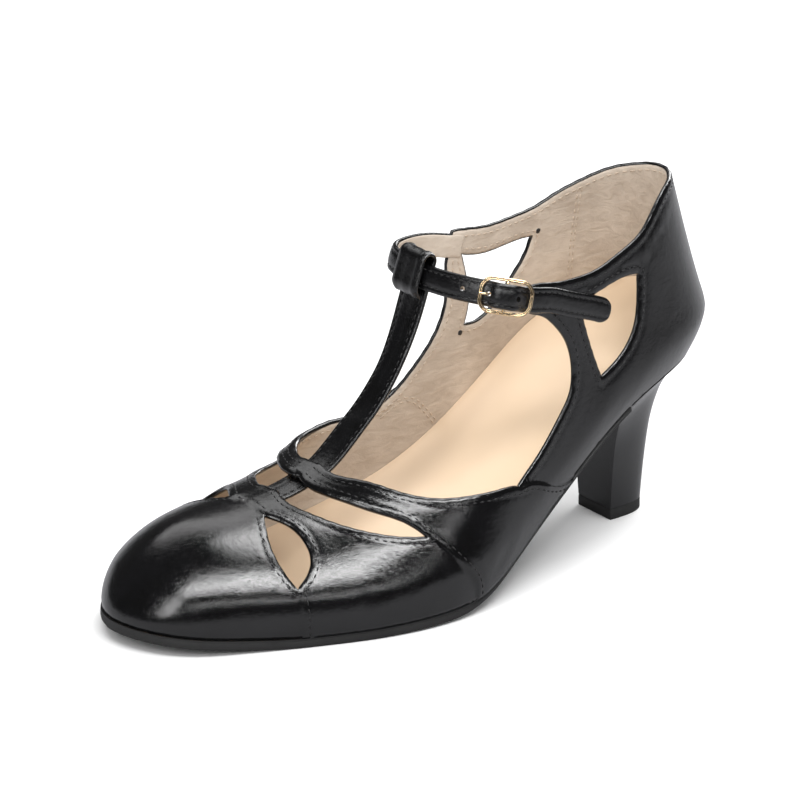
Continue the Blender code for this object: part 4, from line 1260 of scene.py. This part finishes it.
def lines_beside(rows):
    """Closed flat lines at the stitches' distance from a hole, outside it."""
    hole = spaced(dense(rows, True), STITCH_SAMPLES, True)
    for side in (1, -1):
        line = moved(hole, True, STITCH_IN, side)
        line = np.vstack([line, line[:1]])
        if within(line, hole).mean() <= 0.5:
            yield line


def stitch_lining():
    """Stitches that show on the lining."""
    stitches = Stitches()
    for rows in (COLLAR, INNER_CUT, OUTER_CUT):
        for line in lines_beside(rows):
            keep = np.abs(hole_tree(on_last(line)) - STITCH_IN) < 0.0004
            stitches.rows(line, keep & ~in_holes(line), True)
    for rows in (HEEL_LINING, VAMP_LINING):
        line = spaced(dense(rows, False), STITCH_SAMPLES, False)
        for side in (1, -1):
            row = moved(line, False, 0.0007, side)
            stitches.rows(row, np.ones(len(row), bool), True)
    return stitches


def stitch_upper():
    """Stitches of the leather beside its holes and seams, and the bar tacks."""
    stitches = Stitches()
    bar_tacks(stitches)
    for rows in HOLE_ROWS:
        for line in lines_beside(rows):
            solid = on_last(line)
            away = hole_tree(solid)
            keep = (away > STITCH_IN * 0.9) & (away < STITCH_IN + 0.0005)
            keep &= ~in_holes(line) & (unflat(line)[:, 1] > 0.001)
            for _, tree in seam_trees:
                keep &= tree(solid) > 0.0004
            stitches.rows(line, keep)
    for rows, side, _, _ in SEAMS:
        line = moved(spaced(dense(rows, False), STITCH_SAMPLES, False), False, STITCH_IN, side)
        climbs = unflat(line)[:, 1]
        keep = (hole_tree(on_last(line)) > STITCH_IN * 0.9) & ~in_holes(line)
        stitches.rows(line, keep & (climbs > 0.001) & (climbs < 1.2))
    return stitches


# Straps
def strap_body(name, centre, outward, half_thickness, look, slot, *nodes):
    """A closed strap from a grid of middle points, its outward directions and half thicknesses."""
    rows, columns = centre.shape[:2]
    top = centre + outward * half_thickness[..., None]
    bottom = centre - outward * half_thickness[..., None]
    ring = np.concatenate([top, bottom[:, ::-1][:, 1:-1]], axis=1)
    count = ring.shape[1]
    verts = list(ring.reshape(-1, 3))
    faces = rings_faces(count, rows)
    for row in (0, rows - 1):
        start = row * count
        for column in range(columns - 1):
            low = start + column
            under = start + (count - column) % count
            next_under = start + (count - column - 1) % count
            if column == 0:
                faces.append((low, low + 1, next_under))
            elif column == columns - 2:
                faces.append((low, low + 1, under))
            else:
                faces.append((low, low + 1, next_under, under))
    piece = add_piece(name, verts, faces, look, slot, *nodes)
    weld(piece)
    return piece


def across_shares(count):
    """Shares across a strap, closest together near its edges."""
    return np.sin(np.linspace(-math.pi / 2, math.pi / 2, count))


def strap_profile(shares, thickness, width):
    """Half thickness across a padded strap with rolled edges and a stitched groove."""
    edge = np.clip(1 - np.abs(shares) ** 7, 0, 1) ** 0.5
    away = (1 - np.abs(shares)) * width / 2
    groove = STRAP_GROOVE * np.exp(-((away - STRAP_STITCH_IN) / STRAP_GROOVE_WIDE) ** 2)
    pad = PAD * np.exp(-((away - PAD_AT) / PAD_WIDE) ** 2)
    return thickness / 2 * edge, (pad - groove) * (edge > 0.3)


def build_ankle_strap(stitches):
    """The ankle strap with its rounded tip and punched holes, and the stitches along its edge."""
    shares = across_shares(25)
    half = STRAP_WIDTH / 2
    tip = half * (1 - np.cos(np.linspace(0.02, math.pi / 2, 10)))
    runs = np.concatenate([tip, np.linspace(half, ankle.length + STRAP_TAIL, 190)[1:]])
    width = np.sqrt(np.clip(1 - (np.clip(half - runs, 0, None) / half) ** 2, 0, 1))
    run_grid, share_grid = np.meshgrid(runs, shares, indexing="ij")
    across = share_grid * half * width[:, None]
    flat_run, flat_across = run_grid.ravel(), across.ravel()
    held = np.minimum(flat_run, ankle.length)
    centre = strap_point(held, flat_across) + ankle.place(held)[1] * (flat_run - held)[:, None]
    centre = centre.reshape(*run_grid.shape, 3)
    outward = strap_outward(held).reshape(*run_grid.shape, 3)
    thick, relief = strap_profile(shares, STRAP, STRAP_WIDTH)
    thin_end = np.clip(width * 1.6, 0, 1)[:, None]
    half_thick = thick[None] * thin_end
    centre = centre + outward * (relief[None] * thin_end)[..., None]
    piece = strap_body("ankle_strap_leather", centre, outward, half_thick, strap_leather,
                       "black_leather", "ankle_strap")
    cut_holes(piece)
    inset = half - STRAP_STITCH_IN
    side_runs = np.linspace(half, ankle.length - 0.001, 300)
    bend = np.linspace(-math.pi / 2, -3 * math.pi / 2, 40)
    path_runs = np.concatenate([side_runs[::-1], half + inset * np.cos(bend), side_runs])
    path_across = np.concatenate([np.full(300, -inset), inset * np.sin(bend), np.full(300, inset)])
    path = strap_point(path_runs, path_across, STRAP / 2 - 0.00018)
    stitches.run(path, strap_outward(path_runs))


def cut_holes(piece):
    """Cuts the punched holes through the ankle strap."""
    for share in HOLES_AT:
        run = share * ankle.length
        middle, outward = strap_point(np.array(run), np.array(0.0)), strap_outward(np.array([run]))[0]
        cutter = bpy.data.meshes.new("hole_cutter")
        shape = bmesh.new()
        bmesh.ops.create_cone(shape, cap_ends=True, segments=20, radius1=PUNCH, radius2=PUNCH, depth=0.006)
        shape.to_mesh(cutter)
        shape.free()
        tool = bpy.data.objects.new("hole_cutter", cutter)
        bpy.context.scene.collection.objects.link(tool)
        turned = Vector(outward).to_track_quat("Z", "Y").to_matrix().to_4x4()
        tool.matrix_world = Matrix.Translation(Vector(middle + SHIFT)) @ turned
        cut = piece.modifiers.new("hole", "BOOLEAN")
        cut.operation = "DIFFERENCE"
        cut.solver = "EXACT"
        cut.object = tool
        bpy.context.view_layer.update()
        shown = piece.evaluated_get(bpy.context.evaluated_depsgraph_get())
        baked = bpy.data.meshes.new_from_object(shown)
        piece.modifiers.clear()
        piece.data = baked
        bpy.data.objects.remove(tool)


def strap_outward(runs):
    """Outward directions of the ankle strap at running distances."""
    return ankle.place(np.asarray(runs))[2]


def build_strap_lining():
    """Lining behind the inner run of the ankle strap, carried on over the quarter's front edge."""
    shares = across_shares(9)
    runs = np.linspace(T_STRAP_AT * ankle.length - 0.004, ankle.length, 60)
    _, _, outward, upward = ankle.place(runs)
    middle = strap_point(runs, np.zeros(60), np.full(60, -STRAP / 2 - LINING_HALF))
    stations = np.array([0.352, 0.344, 0.336])
    turns = np.array([turn_of(station, False) for station in stations])
    normal = last_normal(turns, np.full(3, 1 - 0.768))
    on_tab = last(turns, np.full(3, 1 - 0.768)) - normal * (WALL + STEP + LINING_HALF)
    middle = np.vstack([middle, on_tab])
    knots = chord_knots(middle)
    spots = np.linspace(0, knots[-1], 70)
    middle = Spline(knots, middle)(spots)
    outward = np.vstack([outward, np.repeat(outward[-1:], 3, 0)])
    upward = np.vstack([upward, np.repeat(upward[-1:], 3, 0)])
    outward, upward = between(spots, knots, outward), between(spots, knots, upward)
    half = STRAP_WIDTH / 2 - 0.0004
    centre = middle[:, None] + upward[:, None] * (shares * half)[None, :, None]
    thick = LINING_HALF * np.clip(1 - np.abs(shares) ** 6, 0.02, 1) ** 0.5
    outward = np.repeat(outward[:, None], len(shares), 1)
    thick = np.repeat(thick[None], len(spots), 0)
    strap_body("ankle_strap_lining", centre, outward, thick, lining, "beige_lining")


def fold_points(shares, path):
    """Cross lines of the stiff fold round the ankle strap along a path of out and up."""
    middle, along, outward, upward = ankle.place(T_STRAP_AT * ankle.length)
    runs = -shares * T_STRAP_FOLD_WIDTH / 2
    curved = ankle.place(T_STRAP_AT * ankle.length + runs)[0]
    straight = middle + along * runs[:, None]
    line = straight + (curved - straight) * FOLD_BEND
    path = np.asarray(path)[:, :, None, None]
    return line[None] + outward * path[:, 0] + upward * path[:, 1]


def build_t_strap(stitches):
    """The T-strap with its fold over the ankle strap, and the stitches along both edges."""
    shares = across_shares(23)
    coarse = np.linspace(-1, 1, 7)
    inside = STRAP / 2 + 2 * GAP + T_STRAP / 2
    half = STRAP_WIDTH / 2
    top = half + 3 * GAP
    low = -FOLD_START * half
    fold = [(-inside, up) for up in np.linspace(low, top, 14)]
    for turned in np.linspace(2.9, 0.25, 12):
        fold.append((inside * math.cos(turned), top + inside * math.sin(turned)))
    fold += [(inside, up) for up in np.linspace(top, -half - 0.0003, 12)]
    fold += [(inside - drop, -half - fall) for drop, fall in FOLD_TAIL]
    entry = [(-inside, -2.3 * half), (-inside, low), (-inside, 0)]
    found = np.concatenate([t_strap_sections(coarse), fold_points(coarse, entry)])
    knots = chord_knots(found[:, 3])
    lines = Spline(knots, found.reshape(len(found), -1))
    places = np.linspace(0, knots[-2], 130)
    rows = lines(places).reshape(len(places), 7, 3)
    across = Spline(coarse, np.moveaxis(rows, 1, 0).reshape(7, -1))
    long_part = np.moveaxis(across(shares).reshape(len(shares), len(places), 3), 0, 1)
    centre = np.concatenate([long_part, fold_points(shares, fold[1:])])
    outward = unit(np.cross(np.gradient(centre, axis=1), np.gradient(centre, axis=0)) + 1e-12)
    if outward[40, 11, 2] < 0:
        outward = -outward
    thick, relief = strap_profile(shares, T_STRAP, T_STRAP_WIDTH)
    run = chord_knots(centre[:, 11])
    ends = np.clip(np.minimum(run, run[-1] - run) / 0.0008, 0.05, 1) ** 0.5
    centre_line = centre + outward * relief[None, :, None]
    strap_body("t_strap_leather", centre_line, outward, thick[None] * ends[:, None], t_leather,
               "black_leather", "t_strap")
    for share in (-0.70, 0.70):
        column = across(np.array([share])).reshape(len(places), 3)
        normal = outward[:len(places), 11]
        path = column + normal * (T_STRAP / 2 - 0.00014)
        stitches.run(path[4:-3], normal[4:-3])


# Soles, heel and insole
def plan_grid(loop, spacing):
    """Even triangles over a flat loop."""
    low, high = loop.min(0), loop.max(0)
    columns, rows = np.arange(low[0], high[0], spacing), np.arange(low[1], high[1], spacing)
    grid = np.stack(np.meshgrid(columns, rows), -1).reshape(-1, 2)
    grid = grid[within(grid, loop)]
    near = np.array([np.linalg.norm(loop - point, axis=1).min() for point in grid])
    return triangles([loop], [], grid[near > spacing * 0.55], 1)


def closed_loft(name, rings, top_height, bottom_height, spacing, look, slot, node):
    """A piece through rings, closed by sheets whose heights come from two functions of x and y."""
    count = len(rings[0])
    verts = [point for ring in rings for point in ring]
    faces = rings_faces(count, len(rings))
    ends = ((rings[0], 0, bottom_height), (rings[-1], (len(rings) - 1) * count, top_height))
    for ring, start, height in ends:
        points, fill = plan_grid(ring[:, :2], spacing)
        extra = len(verts) - count
        verts += [np.array([x, y, height(x, y)]) for x, y in points[count:]]
        for face in fill:
            faces.append([start + index if index < count else extra + index for index in face])
    return add_piece(name, verts, faces, look, slot, node)


def build_insole():
    """The cupped footbed."""
    edge_turns = (np.arange(260) + 0.5) / 260
    rings = [insole_ring(edge_turns, level) for level in (0, 0.3, 0.6, 0.85, 0.97)]
    top = insole_ring(edge_turns, 1.0)
    top[:, 1] += np.sign(ridge_side(top[:, 0]) - top[:, 1]) * 0.0006
    rings.append(top)
    outer = top[:, 1] > ridge_side(top[:, 0])
    halves = []
    for half in (top[outer], top[~outer]):
        order = np.argsort(half[:, 0])
        halves.append((half[order, 0], np.abs(half[order, 1] - ridge_side(half[order, 0]))))

    def top_height(x, y):
        across = y - ridge_side(x)
        places, widths = halves[0] if across > 0 else halves[1]
        share = min(1, abs(across) / max(np.interp(x, places, widths), 1e-6))
        cup = INSOLE_CUP * min(1, insole_raise(x) / INSOLE_HEEL)
        return feather_height(x) + insole_raise(x) - cup * (1 - share * share)

    piece = closed_loft("insole_footbed", rings, top_height, lambda x, y: feather_height(x), 0.0045, tan,
                        "tan_insole", "insole")
    soften(piece, 50)


def build_outsole():
    """The outsole with its rounded lower edge."""
    start = turn_of((BREAST + GAP) / LENGTH, True)
    end = turn_of((BREAST + GAP) / LENGTH, False)
    loop = ring_with_breast(start, end, 300, 20)
    middle = np.stack([loop[:, 0], ridge_side(loop[:, 0])], 1)
    inward = middle - loop
    inward /= np.linalg.norm(inward, axis=1, keepdims=True)
    inward[300:] = 0
    inward[[0, 299], 0] = 0
    rings = []
    for depth, inset in SOLE_EDGE:
        ring = loop + inward * inset * SOLE_INSET
        height = feather_height(ring[:, 0]) - depth * sole_thickness(ring[:, 0]) - (1 - depth) * GAP * 0.4
        rings.append(np.column_stack([ring, np.maximum(height, 0)]))
    piece = closed_loft("outsole_rubber", rings, lambda x, y: feather_height(x) - GAP,
                        lambda x, y: max(feather_height(x) - sole_thickness(x), 0), 0.006, rubber,
                        "black_rubber", "outsole")
    soften(piece, 35)


def build_heel():
    """The covered heel and the rubber piece under it."""
    count, cross_count = 121, 16
    start = turn_of(BREAST / LENGTH, False)
    end = 1 + turn_of(BREAST / LENGTH, True)
    top = ring_with_breast(start, end, count, cross_count)
    base = heel_base(count, cross_count)
    curve = Spline([row[0] for row in HEEL_CURVE], [row[1] for row in HEEL_CURVE])
    top_height = feather_height(top[:, 0]) - 0.0001
    rings = []
    for depth in np.linspace(1, 0, 40) ** 1.25:
        plan = top + (base - top) * curve(depth)
        height = top_height + (TOP_PIECE + 0.0001 - top_height) * depth
        rings.append(np.column_stack([plan, height]))
    piece = closed_loft("heel_cover", rings, lambda x, y: feather_height(x) - GAP,
                        lambda x, y: TOP_PIECE + 0.0001, 0.004, heel_leather, "black_leather", "heel")
    soften(piece, 50)
    centre = base.mean(0)
    rings = []
    for height, size in TOP_PIECE_EDGE:
        rings.append(np.column_stack([centre + (base - centre) * size, np.full(len(base), height)]))
    piece = closed_loft("heel_tip", rings, lambda x, y: TOP_PIECE, lambda x, y: 0.0, 0.004, rubber,
                        "black_rubber", "heel_top_piece")
    soften(piece, 40)


# Buckle
def tube(path, radius, closed, sides=12):
    """Verts and faces of a round wire along a path."""
    path = np.asarray(path, float)
    if closed:
        along = unit(np.roll(path, -1, 0) - np.roll(path, 1, 0))
    else:
        along = unit(np.gradient(path, axis=0))
    side = unit(np.cross(along, buckle_outward + 0.001))
    up = np.cross(side, along)
    angles = np.arange(sides) * 2 * math.pi / sides
    verts = [point + radius * (a * math.cos(angle) + b * math.sin(angle))
             for point, a, b in zip(path, side, up) for angle in angles]
    count = len(path)
    faces = rings_faces(sides, count)
    if closed:
        last_ring = (count - 1) * sides
        for step in range(sides):
            following = (step + 1) % sides
            faces.append((last_ring + step, last_ring + following, following, step))
    else:
        faces.append(tuple(range(sides))[::-1])
        faces.append(tuple((count - 1) * sides + step for step in range(sides)))
    return np.array(verts), faces


def joined(shapes):
    """Verts and faces of several shapes as one."""
    verts, faces, start = [], [], 0
    for found_verts, found_faces in shapes:
        verts.append(found_verts)
        faces += [tuple(index + start for index in face) for face in found_faces]
        start += len(found_verts)
    return np.vstack(verts), faces


def build_buckle():
    """The wire frame with its bar, and the prong through the middle hole of the strap."""
    half_height = STRAP_WIDTH / 2 + BUCKLE_ROOM / 2 + BUCKLE_WIRE / 2
    shapes = []
    for grow, radius, lift in ((0.00030, 0.00042, 0.0), (-0.00030, 0.00036, 0.00003)):
        loop = []
        corner = BUCKLE_ROUND + grow
        for sign_x, sign_y, start in ((1, 1, 0), (-1, 1, 90), (-1, -1, 180), (1, -1, 270)):
            for angle in np.linspace(start, start + 90, 15):
                turned = math.radians(angle)
                along = sign_x * (half_buckle - BUCKLE_ROUND) + corner * math.cos(turned)
                upward = sign_y * (half_height - BUCKLE_ROUND) + corner * math.sin(turned)
                loop.append(buckle_point(along, lift, upward))
        shapes.append(tube(loop, radius, True))
    bar = [buckle_point(0, 0, up) for up in np.linspace(-half_height, half_height, 6)]
    shapes.append(tube(bar, BAR_WIRE / 2, False))
    verts, faces = joined(shapes)
    add_piece("buckle_gold", verts, faces, gold, "gold_metal", "buckle_frame")
    hole_run = HOLES_AT[1] * ankle.length
    below = STRAP / 2 + 2 * GAP + PRONG_WIRE / 2
    first_run = buckle_run + BAR_WIRE / 2 + GAP + PRONG_WIRE / 2
    path = [strap_point(run, 0, -below) for run in np.linspace(first_run, hole_run - PRONG_WIRE * 0.3, 8)]
    path += [strap_point(hole_run, 0, lift) for lift in (-0.6 * below, 0, 0.7 * below)]
    over = BUCKLE_WIRE / 2 + PRONG_WIRE / 2
    for along in (half_buckle - 1.5 * BUCKLE_WIRE, half_buckle, half_buckle + BUCKLE_WIRE * 0.7):
        path.append(buckle_point(along, over))
    path = np.array(path)
    knots = chord_knots(path)
    places = np.linspace(0, knots[-1], 40)
    smooth = between(places, knots, path)
    for _ in range(3):
        smooth[1:-1] = (smooth[:-2] + 2 * smooth[1:-1] + smooth[2:]) / 4
    verts, faces = tube(smooth, PRONG_WIRE / 2, False)
    add_piece("buckle_prong_gold", verts, faces, gold, "gold_metal", "buckle_prong")


# Stage, lights and camera
def build_stage():
    """A white floor, painted grey where it is seen in reflections: painted shade on the leather's
    reflections of the floor.
    """
    mesh = bpy.data.meshes.new("floor")
    mesh.from_pydata([(-6, -6, 0), (6, -6, 0), (6, 6, 0), (-6, 6, 0)], [], [(0, 1, 2, 3)])
    floor = bpy.data.objects.new("floor", mesh)
    look = bpy.data.materials.new("floor_white")
    look.use_nodes = True
    tree = look.node_tree
    shader = tree.nodes["Principled BSDF"]
    path = tree.nodes.new("ShaderNodeLightPath")
    shade = tree.nodes.new("ShaderNodeMix")
    shade.data_type = "RGBA"
    # Grey base colour for glossy rays only: painted shade in the floor's reflections
    shade.inputs[6].default_value = FLOOR
    shade.inputs[7].default_value = FLOOR_PAINTED_SHADE_IN_REFLECTIONS
    tree.links.new(path.outputs["Is Glossy Ray"], shade.inputs[0])
    tree.links.new(shade.outputs[2], shader.inputs["Base Color"])
    shader.inputs["Roughness"].default_value = 0.9
    shader.inputs["Specular IOR Level"].default_value = 0.1
    mesh.materials.append(look)
    bpy.context.scene.collection.objects.link(floor)


def aim(name, content, azimuth, elevation, distance):
    """An object for a light or camera that looks at the target from a direction in degrees."""
    turned, raised = math.radians(azimuth), math.radians(elevation)
    level = math.cos(raised)
    away = np.array([level * math.cos(turned), level * math.sin(turned), math.sin(raised)])
    holder = bpy.data.objects.new(name, content)
    holder.location = TARGET + away * distance
    holder.rotation_euler = Vector(away).to_track_quat("Z", "Y").to_euler()
    bpy.context.scene.collection.objects.link(holder)
    return holder


def softbox(name, azimuth, elevation, distance, width, height, power):
    light = bpy.data.lights.new(name, "AREA")
    light.shape = "RECTANGLE"
    light.size = width
    light.size_y = height
    light.energy = power
    aim(name, light, azimuth, elevation, distance)


def build_lights():
    """A white world, dark in reflections, and the softboxes."""
    world = bpy.data.worlds.new("studio")
    bpy.context.scene.world = world
    world.use_nodes = True
    tree = world.node_tree
    path = tree.nodes.new("ShaderNodeLightPath")
    strength = tree.nodes.new("ShaderNodeMapRange")
    strength.inputs["To Min"].default_value = WORLD
    strength.inputs["To Max"].default_value = WORLD_REFLECTED
    tree.links.new(path.outputs["Is Glossy Ray"], strength.inputs["Value"])
    tree.links.new(strength.outputs[0], tree.nodes["Background"].inputs[1])
    tree.nodes["Background"].inputs[0].default_value = (1, 1, 1, 1)
    for row in SOFTBOXES:
        softbox(*row)
    bpy.context.scene.view_settings.view_transform = "Standard"


def build_camera():
    """The photo's view."""
    camera = bpy.data.cameras.new("photo_view")
    camera.sensor_width = SENSOR
    camera.lens = FOCAL * SENSOR / PHOTO
    camera.shift_x = (PHOTO / 2 - MIDDLE[0]) / PHOTO
    camera.shift_y = (MIDDLE[1] - PHOTO / 2) / PHOTO
    camera.clip_start = 0.1
    camera.clip_end = 50
    bpy.context.scene.camera = aim("photo_view", camera, *CAMERA_AT)


leather = leather_look("black_leather", 650, 0.00007)
strap_leather = leather_look("strap_leather", 1100, 0.00010)
t_leather = leather_look("t_strap_leather", 1100, 0.00010)
heel_leather = leather_look("heel_leather", 500, 0.00005)
lining = lining_look()
tan = insole_look()
rubber = rubber_look()
gold = gold_look()
thread = thread_look("black_thread", (0.006, 0.006, 0.006), (0.016, 0.016, 0.017))
lining_thread = thread_look("beige_thread", (0.42, 0.33, 0.25), (0.60, 0.50, 0.40))

build_camera()
build_stage()
build_lights()
build_outsole()
build_heel()
build_insole()
build_upper()
seam_stitches = stitch_upper()
build_ankle_strap(seam_stitches)
build_t_strap(seam_stitches)
build_strap_lining()
build_buckle()
add_piece("stitches", seam_stitches.verts, seam_stitches.faces, thread, "black_leather")
lining_stitches = stitch_lining()
add_piece("lining_stitches", lining_stitches.verts, lining_stitches.faces, lining_thread, "beige_lining")
